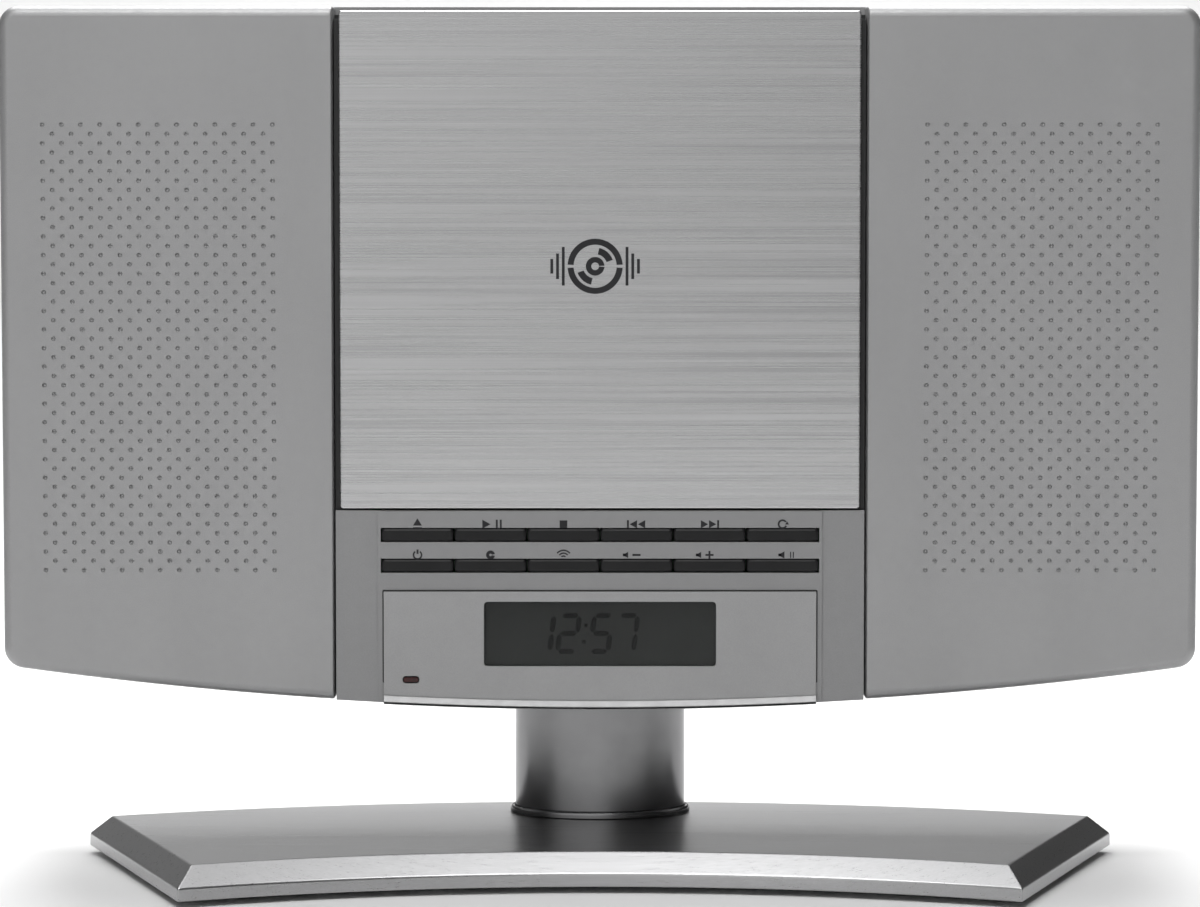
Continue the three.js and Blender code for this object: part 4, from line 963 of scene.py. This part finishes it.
# ---------------------------------------------------------------- display
SEGMENTS = {"1": "bc", "2": "abged", "5": "afgcd", "7": "abc"}
# each digit with its place, in pitches from the display's middle
CLOCK_DIGITS = (("1", -2.35), ("2", -1.3), ("5", 0.05), ("7", 1.1))
COLON_PLACE = -0.62
DIGIT_HEIGHT_SHARE = 0.66
DIGIT_WIDTH_SHARE = 0.56
DIGIT_PITCH_SHARE = 1.0496
DIGIT_SLANT = 0.12


def digit_shapes(digit, cx, cz, width, height):
    """Seven-segment strokes of one leaning digit."""
    stroke = width * 0.23
    half_w = width / 2 - stroke / 2
    half_h = height / 2 - stroke / 2
    gap = stroke * 0.12

    def across(z):
        a = half_w - stroke / 2 - gap
        s = stroke / 2
        return [(-a - s, z), (-a, z - s), (a, z - s), (a + s, z), (a, z + s), (-a, z + s)]

    def upright(x, z0, z1):
        s = stroke / 2
        a = z0 + s + gap
        b = z1 - s - gap
        return [(x, a - s), (x + s, a), (x + s, b), (x, b + s), (x - s, b), (x - s, a)]

    strokes = {
        "a": across(half_h), "g": across(0), "d": across(-half_h),
        "b": upright(half_w, 0, half_h), "c": upright(half_w, -half_h, 0),
        "f": upright(-half_w, 0, half_h), "e": upright(-half_w, -half_h, 0),
    }
    return [[(cx + x + z * DIGIT_SLANT, cz + z) for x, z in strokes[key]] for key in SEGMENTS[digit]]


class HIFI_OT_display(Operator):
    """Make the display panel, its smoked window, the clock digits and the standby lens"""

    bl_idname = "hifi.display"
    bl_label = "Display"

    def execute(self, context):
        softened_node("display_panel", "display_fascia", "silver_paint", "chassis", 0.25 * MM)
        self.lip()
        # painted shadow: a black strip gives the dark line of the gap round the display panel
        self.painted_shadow_gap()
        softened_node("display_window", "smoked_window", "smoked_glass", "chassis", 0.2 * MM)
        softened_node("standby_lens", "standby_light", "red_lens", "chassis", 0.15 * MM)
        softened_node(
            "display_module", "display_glass", "display_ground", "chassis", 0.2 * MM
        )
        self.clock()
        return {"FINISHED"}

    def lip(self):
        """Lip along the panel's foot; its sloping face catches the light from above."""
        low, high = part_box("display_panel")
        radius = setting("body").bottom_radius
        front_rise, full_rise, slope, deep = 0.9 * MM, 2.6 * MM, 1.3 * MM, 2.1 * MM
        section = [(0, 0), (0, front_rise), (slope, full_rise), (deep, full_rise), (deep, 0)]
        rings = []
        steps = 32
        for i in range(steps + 1):
            x = low.x + (high.x - low.x) * i / steps
            foot = arc_centre_z() - math.sqrt(radius ** 2 - x ** 2)
            rings.append([Vector((x, low.y + depth, foot + rise)) for depth, rise in section])
        work = bmesh.new()
        add_rings(work, rings)
        mesh_object("display_lip", soften(work, 0.2 * MM), "silver_paint", "chassis")

    def painted_shadow_gap(self):
        """Painted shadow: a black strip behind the display panel's edge that stands in for the shade in the
        gap round it, showing as a fine dark line round the display panel.
        """
        low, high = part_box("display_panel")
        show = 0.4 * MM
        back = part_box("control_fascia")[0].y
        foot = low.z + 8 * MM
        outline = rounded_rectangle(low.x - show, high.x + show, foot, high.z + show, show, 3)
        work = bmesh.new()
        add_slab(work, outline, back - 0.25 * MM, back - 0.01 * MM)
        opening = bmesh.new()
        module_low, module_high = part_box("display_module")
        reach = Vector((0.1 * MM, 0, 0.1 * MM))
        module_low.y, module_high.y = back - MM, back + MM
        add_block(opening, module_low - reach, module_high + reach)
        # black rubber strip as painted shadow in the gap round the display panel
        mesh_object("display_painted_shadow_gap", carved(work, opening), "black_rubber", "chassis")

    def clock(self):
        low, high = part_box("display_module")
        window_low, window_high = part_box("display_window")
        cx = (low.x + high.x) / 2
        cz = (window_low.z + window_high.z) / 2
        height = (window_high.z - window_low.z) * DIGIT_HEIGHT_SHARE
        width = height * DIGIT_WIDTH_SHARE
        pitch = width * DIGIT_PITCH_SHARE
        shapes = []
        for digit, place in CLOCK_DIGITS:
            shapes += digit_shapes(digit, cx + place * pitch, cz, width, height)
        dot = width * 0.16
        for rise in (-0.2 * height, 0.2 * height):
            shapes.append(bar(cx + COLON_PLACE * pitch + rise * DIGIT_SLANT, cz + rise, dot, dot))
        work = bmesh.new()
        for outline in shapes:
            add_slab(work, outline, low.y - 0.06 * MM, low.y - 0.01 * MM)
        mesh_object("clock_digits", work, "segment_ink", "chassis")


# ---------------------------------------------------------------- rear shell and sockets
def rear_outer_rings(start, grow=0.0):
    """Rings of the rear shell from its front rim to its drawn-in back face."""
    body = setting("body")
    back = BODY_HIGH.y
    straight = back - body.rear_bevel
    rings = [at_depth(body_outline(BODY_LOW.x, BODY_HIGH.x, grow), y) for y in (start, straight)]
    steps = 8
    round_share, even_share = 0.93, 0.07
    for i in range(1, steps + 1):
        t = math.pi / 2 * i / steps
        inset = body.rear_taper * (1 - math.cos(t)) * round_share + body.rear_taper * even_share * i / steps
        depth = straight + (body.rear_bevel - grow) * math.sin(t)
        rings.append(at_depth(body_outline(BODY_LOW.x, BODY_HIGH.x, grow + inset), depth))
    return rings


VENT_ROWS = 6
VENT_PITCH = 8 * MM
VENT_OFFSET = 46 * MM
VENT_HALF_LENGTH = 28 * MM
VENT_HALF_HEIGHT = 1.3 * MM
SOCKET_GAP = 0.3 * MM
JACK_PITCH = 12 * MM
SCREW_SIDE = 152 * MM
SCREW_INNER = 92 * MM
SCREW_DROP = 26 * MM
SCREW_RISE = 34 * MM
SCREW_SINK = 1.2 * MM


def vent_slots():
    """Outlines of the two groups of vents, upwards from the height of the disc's hub."""
    slots = []
    for side in (-1, 1):
        for i in range(VENT_ROWS):
            z = hub_height() + i * VENT_PITCH
            x = side * VENT_OFFSET
            left, right = x - VENT_HALF_LENGTH, x + VENT_HALF_LENGTH
            low, high = z - VENT_HALF_HEIGHT, z + VENT_HALF_HEIGHT
            slots.append(rounded_rectangle(left, right, low, high, (high - low) / 2 * 0.98))
    return slots


def socket_openings():
    outlines = []
    for node in ("mains_inlet", "socket_block"):
        low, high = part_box(node)
        left, right = low.x - SOCKET_GAP, high.x + SOCKET_GAP
        bottom, top = low.z - SOCKET_GAP, high.z + SOCKET_GAP
        outlines.append(rounded_rectangle(left, right, bottom, top, 0.5 * MM, 3))
    return outlines


def screw_places():
    top = BODY_HIGH.z - SCREW_DROP
    low = BODY_LOW.z + SCREW_RISE
    places = ((SCREW_SIDE, top), (SCREW_SIDE, low), (SCREW_INNER, low))
    return [(side * x, z) for side in (-1, 1) for x, z in places]


def rear_cutters():
    """Vent slots, socket openings and the screw recesses."""
    tools = bmesh.new()
    face = BODY_HIGH.y
    beyond = face + MM
    vent_depth, socket_depth = 8 * MM, 9 * MM
    for outline in vent_slots():
        add_slab(tools, outline, face - vent_depth, beyond)
    for outline in socket_openings():
        add_slab(tools, outline, face - socket_depth, beyond)
    floor = face - SCREW_SINK
    floor_radius, mouth_radius = 3.4 * MM, 3.6 * MM
    recess = [(0, floor), (floor_radius, floor), (mouth_radius, beyond), (0, beyond)]
    for x, z in screw_places():
        add_turned(tools, recess, x, z)
    return tools


class HIFI_OT_rear_shell(Operator):
    """Make the rear shell with its rounded back, vents, socket openings and screws"""

    bl_idname = "hifi.rear_shell"
    bl_label = "Rear Shell"

    def execute(self, context):
        start = BODY_LOW.y
        wall = setting("body").wall
        outside = bmesh.new()
        add_rings(outside, rear_outer_rings(start))
        inside = bmesh.new()
        add_rings(inside, rear_outer_rings(start - MM, wall))
        work = carved(carved(outside, inside), rear_cutters())
        piece = mesh_object("rear_case", work, "silver_paint", "chassis", math.radians(24))
        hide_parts("rear_shell")
        for i, (x, z) in enumerate(screw_places()):
            self.screw(f"rear_screw_{i + 1}", x, z)
        return {"FINISHED"}

    def screw(self, name, x, z):
        """Pan-head screw with a cross recess."""
        face = BODY_HIGH.y
        seat = face - SCREW_SINK
        shank = 1.3 * MM
        head_radius = 2.9 * MM
        dome = 0.9 * MM
        profile = [(0, face - 4 * MM), (shank, face - 4 * MM), (shank, seat), (head_radius, seat)]
        for turn in (0, 0.4, 0.8, 1.2):
            profile.append((head_radius * math.cos(turn), seat + 0.1 * MM + dome * math.sin(turn)))
        profile.append((0, seat + MM))
        head = bmesh.new()
        add_turned(head, profile, x, z, 32)
        cross = bmesh.new()
        add_slab(cross, plus_sign(x, z, 3.0 * MM, 0.7 * MM)[0], face - MM, face + MM)
        mesh_object(name, carved(head, cross), "steel", "chassis")


class HIFI_OT_sockets(Operator):
    """Dress the mains inlet and the socket block, and give the three jacks their metal rings"""

    bl_idname = "hifi.sockets"
    bl_label = "Sockets"

    def execute(self, context):
        softened_node("mains_inlet", "mains_socket", "black_plastic", "chassis", 0.15 * MM)
        softened_node("socket_block", "audio_sockets", "black_plastic", "chassis", 0.15 * MM)
        low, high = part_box("socket_block")
        cx = (low.x + high.x) / 2
        cz = (low.z + high.z) / 2
        lip = high.y - 0.1 * MM
        root = lip - 8 * MM
        bore = 1.4 * MM
        outer = 1.72 * MM
        for i in (-1, 0, 1):
            work = bmesh.new()
            profile = [(bore, root), (outer, root), (outer, lip), (bore, lip)]
            add_turned(work, profile, cx + i * JACK_PITCH, cz, 32)
            mesh_object(f"jack_sleeve_{i + 2}", work, "steel", "chassis")
        return {"FINISHED"}


# ---------------------------------------------------------------- neck and base
NECK_EDGE = 0.4 * MM
NECK_TOP_GAP = 0.3 * MM
TONGUE_HALF_WIDTH = 14 * MM
TONGUE_HALF_DEPTH = 9 * MM
COLLAR_GAP = 0.3 * MM


def ellipse(cx, cy, a, b, z, sides=96):
    angles = [2 * math.pi * i / sides for i in range(sides)]
    return [Vector((cx + a * math.cos(t), cy + b * math.sin(t), z)) for t in angles]


class HIFI_OT_neck(Operator):
    """Make the oval neck and the collar at its foot"""

    bl_idname = "hifi.neck"
    bl_label = "Neck"

    def execute(self, context):
        self.column()
        self.collar()
        softened_node("neck_bracket", "neck_clamp", "plated_steel", "chassis", 0.2 * MM)
        return {"FINISHED"}

    def column(self):
        """Oval column with the narrower tongue that goes up into the body."""
        low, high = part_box("neck_column")
        cy = (low.y + high.y) / 2
        a = high.x
        b = (high.y - low.y) / 2
        top = BODY_LOW.z - NECK_TOP_GAP
        work = bmesh.new()
        stack = [(low.z, NECK_EDGE), (low.z + NECK_EDGE, 0), (top - NECK_EDGE, 0), (top, NECK_EDGE)]
        add_rings(work, [ellipse(0, cy, a - inset, b - inset, z) for z, inset in stack])
        tongue = bmesh.new()
        ends = (top - 2 * MM, high.z)
        add_rings(tongue, [ellipse(0, cy, TONGUE_HALF_WIDTH, TONGUE_HALF_DEPTH, z, 48) for z in ends])
        joined = carved(work, tongue, "UNION")
        piece = mesh_object("neck", joined, "neck_metal", "chassis")
        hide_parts("neck_column")

    def collar(self):
        """Ring with a rounded top round the neck's foot."""
        column_low, column_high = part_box("neck_column")
        low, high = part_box("neck_collar")
        cy = (column_low.y + column_high.y) / 2
        gap = COLLAR_GAP
        inner_a = column_high.x + gap
        inner_b = (column_high.y - column_low.y) / 2 + gap
        rim = high.x - inner_a
        height = high.z - low.z
        flat = 0.45
        profile = [(0, 0), (rim, 0)]
        for i in range(7):
            t = math.pi / 2 * i / 6
            out = flat + (1 - flat) * math.cos(t)
            up = flat + (1 - flat) * math.sin(t)
            profile.append((rim * out, height * up))
        profile.append((0, height * 0.9))
        work = bmesh.new()
        rings = [ellipse(0, cy, inner_a + r, inner_b + r, low.z + z) for r, z in profile]
        add_rings(work, rings, closed=True)
        piece = mesh_object("collar", work, "neck_metal", "chassis")
        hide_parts("neck_collar")


def base_outline(grow, steps=56):
    """Plan of the base: hollow front arc, slanting ends and full rear arc, grown outwards."""
    base = setting("base")
    front_middle = FRONT - base.reach
    rear_middle = front_middle + base.depth
    front_radius = (base.front_half ** 2 + base.front_sweep ** 2) / (2 * base.front_sweep)
    rear_radius = (base.rear_half ** 2 + base.rear_sweep ** 2) / (2 * base.rear_sweep)
    front_y = front_middle - front_radius
    rear_y = rear_middle - rear_radius
    corner = Vector((base.front_half, front_middle - base.front_sweep))
    along = (Vector((base.rear_half, rear_middle - base.rear_sweep)) - corner).normalized()
    start = corner + Vector((along.y, -along.x)) * grow

    def meet(centre_y, radius):
        offset = start - Vector((0, centre_y))
        b = offset.dot(along)
        return start + along * (-b + math.sqrt(b * b - offset.length_squared + radius ** 2))

    front_corner = meet(front_y, front_radius - grow)
    rear_corner = meet(rear_y, rear_radius + grow)
    f = math.atan2(front_corner.y - front_y, front_corner.x)
    r = math.atan2(rear_corner.y - rear_y, rear_corner.x)
    return arc(0, front_y, front_radius - grow, math.pi - f, f, steps) + arc(
        0, rear_y, rear_radius + grow, r, math.pi - r, steps
    )


class HIFI_OT_base(Operator):
    """Make the crescent base with its sloping band, and dress the plate and feet under it"""

    bl_idname = "hifi.base"
    bl_label = "Base"

    def execute(self, context):
        low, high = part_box("base_cover")
        base = setting("base")

        def ring(z, grow):
            return [Vector((x, y, z)) for x, y in base_outline(grow)]

        outside = bmesh.new()
        add_rings(outside, [ring(low.z, base.bevel), ring(low.z + base.band, base.bevel), ring(high.z, 0)])
        inside = bmesh.new()
        wall = base.bevel - base.skin
        hollow = [(low.z - MM, wall), (low.z + base.band, wall), (high.z - base.skin, -base.skin)]
        add_rings(inside, [ring(z, grow) for z, grow in hollow])
        work = soften(carved(outside, inside), base.edge, 3, math.radians(16))
        sharp = math.radians(40)
        piece = mesh_object("base_shell", work, "base_metal", "chassis", sharp)
        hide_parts("base_cover")
        softened_node("base_plate", "base_weight", "plated_steel", "chassis", 0.2 * MM)
        for place in ("front_left", "front_right", "rear_left", "rear_right"):
            foot, pad = f"{place}_foot", f"{place}_pad"
            softened_node(foot, pad, "black_rubber", "chassis", 0.35 * MM, 3)
        return {"FINISHED"}


# ---------------------------------------------------------------- disc player and the door's drive
PLAIN_COPIES = {
    "disc_well": ("well", "black_plastic", "chassis", "black_plastic", 0.35),
    "left_door_rail": ("left_rail", "black_plastic", "chassis", "black_plastic", 0.12),
    "right_door_rail": ("right_rail", "black_plastic", "chassis", "black_plastic", 0.12),
    "mechanism_frame": ("mechanism_plate", "black_plastic", "chassis", "black_plastic", 0.2),
    "pickup_sled": ("laser_sled", "black_plastic", "pickup_sled", "black_plastic", 0.25),
    "turntable": ("disc_hub", "black_plastic", "turntable", "black_plastic", 0.25),
    "spindle_motor": ("hub_motor", "steel", "chassis", "zinc_steel", 0.5),
    "upper_guide_rod": ("upper_rod", "steel", "chassis", "polished_rod", 0.3),
    "lower_guide_rod": ("lower_rod", "steel", "chassis", "polished_rod", 0.3),
    "sled_gear": ("laser_gear", "gear_plastic", "sled_gear", "white_gear_plastic", 0.08),
    "sled_motor_gear": ("laser_motor_gear", "gear_plastic", "sled_motor_gear", "white_gear_plastic", 0.08),
    "sled_motor": ("laser_motor", "steel", "chassis", "zinc_steel", 0.5),
    "door_drive_gear": ("lift_gear", "gear_plastic", "door_drive_gear", "white_gear_plastic", 0.08),
    "door_idler_gear": ("lift_idler", "gear_plastic", "door_idler_gear", "white_gear_plastic", 0.08),
    "door_motor_pulley": ("lift_pulley", "gear_plastic", "door_motor_pulley", "white_gear_plastic", 0.08),
    "door_belt": ("lift_belt", "black_rubber", "chassis", "black_rubber", 0.3),
    "door_motor": ("lift_motor", "steel", "chassis", "zinc_steel", 0.5),
    "control_board": ("switch_board", "circuit_board", "chassis", "circuit_board", 0.1),
    "main_board": ("amplifier_board", "circuit_board", "chassis", "circuit_board", 0.1),
    "transformer": ("mains_transformer", "copper_winding", "chassis", "zinc_steel", 0.6),
    "heatsink": ("cooling_fins", "plated_steel", "chassis", "heatsink_metal", 0.15),
}


class HIFI_OT_inner_works(Operator):
    """Round the edges of the disc player, the door's drive and the boards, and finish them"""

    bl_idname = "hifi.inner_works"
    bl_label = "Inner Works"

    def execute(self, context):
        for node, (name, look, body, slot, width) in PLAIN_COPIES.items():
            softened_node(node, name, look, body, width * MM)
        self.lens()
        self.disc_grip()
        return {"FINISHED"}

    def disc_grip(self):
        """Rubber ring that the disc lies on and the three sprung balls that hold it on the hub."""
        low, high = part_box("turntable")
        cx = (low.x + high.x) / 2
        hub_z = hub_height()
        seat = low.y + 3.1 * MM
        inner, outer = 10.4 * MM, 13.2 * MM
        chamfer = 0.2 * MM
        top = seat - 0.35 * MM
        ring = bmesh.new()
        section = [(inner, seat), (inner + chamfer, top), (outer - chamfer, top), (outer, seat)]
        add_turned(ring, section, cx, hub_z, 64)
        mesh_object("hub_ring", ring, "black_rubber", "turntable")
        ball_radius = 1.1 * MM
        ball_circle = 6.6 * MM
        ball_y = seat - 1.0 * MM
        for i in range(3):
            around = math.pi / 2 + i * math.tau / 3
            work = bmesh.new()
            bmesh.ops.create_icosphere(work, subdivisions=3, radius=ball_radius)
            x, z = cx + ball_circle * math.cos(around), hub_z + ball_circle * math.sin(around)
            bmesh.ops.translate(work, verts=work.verts, vec=Vector((x, ball_y, z)))
            mesh_object(f"hub_ball_{i + 1}", work, "steel", "turntable")

    def lens(self):
        """Laser lens on the sled's turret."""
        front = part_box("pickup_sled")[0].y
        work = bmesh.new()
        radius, dome = 3.1 * MM, 0.9 * MM
        from_hub = 24 * MM
        profile = [(0, front - dome)]
        for a in (0.4, 0.8, 1.2, math.pi / 2):
            profile.append((radius * math.sin(a), front - dome * math.cos(a)))
        profile.append((0, front))
        add_turned(work, profile, from_hub, hub_height(), 32)
        mesh_object("laser_lens", work, "lens_glass", "pickup_sled")


# ---------------------------------------------------------------- stage
FLOOR_HALF_WIDTH = 4.0
FLOOR_FRONT = -9.0
FLOOR_BACK = 5.4
FLOOR_SWEEP = 0.6
# name, place, what it points at, width, depth, watts
SOFTBOXES = (
    ("top_softbox", (-0.05, -0.12, 1.2), (-0.05, -0.08, 0), 1.1, 0.7, 2.4),
    ("ceiling", (0, 2.9, 2.6), (0, 2.9, 0), 2.6, 3.6, 110),
    ("rear_fill", (0, 0.5, 1.2), (0, 0.4, 0), 1.1, 0.5, 15),
    ("key", (-0.05, -0.50, 0.85), (0, -0.2, 0.08), 0.6, 0.3, 4.0),
)


def area_light(name, place, target, size, size_y, power):
    data = bpy.data.lights.new(name, "AREA")
    data.shape = "RECTANGLE"
    data.size = size
    data.size_y = size_y
    data.energy = power
    lamp = bpy.data.objects.new(name, data)
    lamp.location = place
    lamp.rotation_euler = (Vector(target) - Vector(place)).to_track_quat("-Z", "Y").to_euler()
    bpy.context.scene.collection.objects.link(lamp)


# direction from left to right as 0 to 1, and the room's brightness there
ROOM_STOPS = (
    (0.0, 0.08), (0.14, 0.06), (0.27, 0.26), (0.45, 0.48),
    (0.53, 0.40), (0.62, 0.09), (0.86, 0.03), (1.0, 0.04),
)
# a bright window in front, to the left and above
WINDOW_DIRECTION = (-0.30, -0.90, 0.32)
WINDOW_BRIGHTNESS = 0.60


def studio_world():
    """Soft room light, brightest at the middle and dimmest on the right, with a window in front."""
    world = bpy.data.worlds.new("studio")
    bpy.context.scene.world = world
    world.use_nodes = True
    tree = world.node_tree
    background = tree.nodes["Background"]
    split = tree.nodes.new("ShaderNodeSeparateXYZ")
    direction = tree.nodes.new("ShaderNodeTexCoord").outputs["Generated"]
    tree.links.new(direction, split.inputs["Vector"])
    side = tree.nodes.new("ShaderNodeMapRange")
    side.inputs["From Min"].default_value = -1.0
    tree.links.new(split.outputs["X"], side.inputs["Value"])
    ramp = tree.nodes.new("ShaderNodeValToRGB")
    ramp.color_ramp.interpolation = "EASE"
    for position, value in ROOM_STOPS[1:-1]:
        ramp.color_ramp.elements.new(position)
    for element, (position, value) in zip(ramp.color_ramp.elements, ROOM_STOPS):
        element.color = (value, value, value, 1)
    tree.links.new(side.outputs["Result"], ramp.inputs["Fac"])
    window = tree.nodes.new("ShaderNodeVectorMath")
    window.operation = "DOT_PRODUCT"
    window.inputs[1].default_value = WINDOW_DIRECTION
    tree.links.new(direction, window.inputs[0])
    glow = tree.nodes.new("ShaderNodeMapRange")
    glow.interpolation_type = "SMOOTHSTEP"
    glow.inputs["From Min"].default_value = 0.82
    glow.inputs["From Max"].default_value = 0.97
    glow.inputs["To Max"].default_value = WINDOW_BRIGHTNESS
    tree.links.new(window.outputs["Value"], glow.inputs["Value"])
    both = tree.nodes.new("ShaderNodeVectorMath")
    tree.links.new(ramp.outputs["Color"], both.inputs[0])
    tree.links.new(glow.outputs["Result"], both.inputs[1])
    tree.links.new(both.outputs["Vector"], background.inputs["Color"])
    background.inputs["Strength"].default_value = 1.0


class HIFI_OT_stage(Operator):
    """Set up the pale floor, the soft studio lights and the camera"""

    bl_idname = "hifi.stage"
    bl_label = "Stage"

    def execute(self, context):
        stage = setting("stage")
        self.floor()
        studio_world()
        for light in SOFTBOXES:
            area_light(*light)
        data = bpy.data.cameras.new("camera")
        data.lens = stage.lens
        data.sensor_width = 36
        camera = bpy.data.objects.new("camera", data)
        camera.location = (0, FRONT - stage.distance, stage.height)
        camera.rotation_euler = (math.pi / 2 - stage.tilt, 0, 0)
        context.scene.collection.objects.link(camera)
        context.scene.camera = camera
        context.scene.view_settings.view_transform = "Standard"
        return {"FINISHED"}

    def floor(self):
        """Floor that sweeps up into a backdrop."""
        half, front, back = FLOOR_HALF_WIDTH, FLOOR_FRONT, FLOOR_BACK
        radius = FLOOR_SWEEP
        profile = [(front, 0.0), (0.0, 0.0)]
        profile += [(back - radius + y, radius + z) for y, z in arc(0, 0, radius, -math.pi / 2, 0, 16)]
        work = bmesh.new()
        rows = [[work.verts.new((x, y, z)) for x in (-half, half)] for y, z in profile]
        for near, far in zip(rows, rows[1:]):
            work.faces.new((near[0], near[1], far[1], far[0]))
        for face in work.faces:
            face.smooth = True
        mesh = bpy.data.meshes.new("floor")
        work.to_mesh(mesh)
        work.free()
        mesh.materials.append(finish("pale_floor"))
        sweep = bpy.data.objects.new("floor", mesh)
        bpy.context.scene.collection.objects.link(sweep)


# ---------------------------------------------------------------- sidebar and registration
OPERATORS = (
    HIFI_OT_stage, HIFI_OT_speaker_panels, HIFI_OT_drivers, HIFI_OT_door, HIFI_OT_door_emblem,
    HIFI_OT_control_fascia, HIFI_OT_buttons, HIFI_OT_button_marks, HIFI_OT_display, HIFI_OT_rear_shell,
    HIFI_OT_sockets, HIFI_OT_neck, HIFI_OT_base, HIFI_OT_inner_works,
)
SETTINGS = {
    "hifi_body": HifiBodySettings,
    "hifi_grille": HifiGrilleSettings,
    "hifi_base": HifiBaseSettings,
    "hifi_door": HifiDoorSettings,
    "hifi_finish": HifiFinishSettings,
    "hifi_stage": HifiStageSettings,
}


class HIFI_PT_sidebar(Panel):
    bl_label = "Mini Hifi"
    bl_idname = "HIFI_PT_sidebar"
    bl_space_type = "VIEW_3D"
    bl_region_type = "UI"
    bl_category = "Hifi"

    def draw(self, context):
        for name, group in SETTINGS.items():
            box = self.layout.box()
            for key in group.__annotations__:
                box.prop(getattr(context.scene, name), key)
        for operator in OPERATORS:
            self.layout.operator(operator.bl_idname)


def register():
    for group in SETTINGS.values():
        bpy.utils.register_class(group)
    for name, group in SETTINGS.items():
        setattr(bpy.types.Scene, name, PointerProperty(type=group))
    for cls in OPERATORS + (HIFI_PT_sidebar,):
        bpy.utils.register_class(cls)


def unregister():
    for cls in reversed(OPERATORS + (HIFI_PT_sidebar,)):
        bpy.utils.unregister_class(cls)
    for name in SETTINGS:
        delattr(bpy.types.Scene, name)
    for group in reversed(tuple(SETTINGS.values())):
        bpy.utils.unregister_class(group)


def main():
    register()
    for operator in OPERATORS:
        group, action = operator.bl_idname.split(".")
        getattr(getattr(bpy.ops, group), action)()


if __name__ == "__main__":
    main()
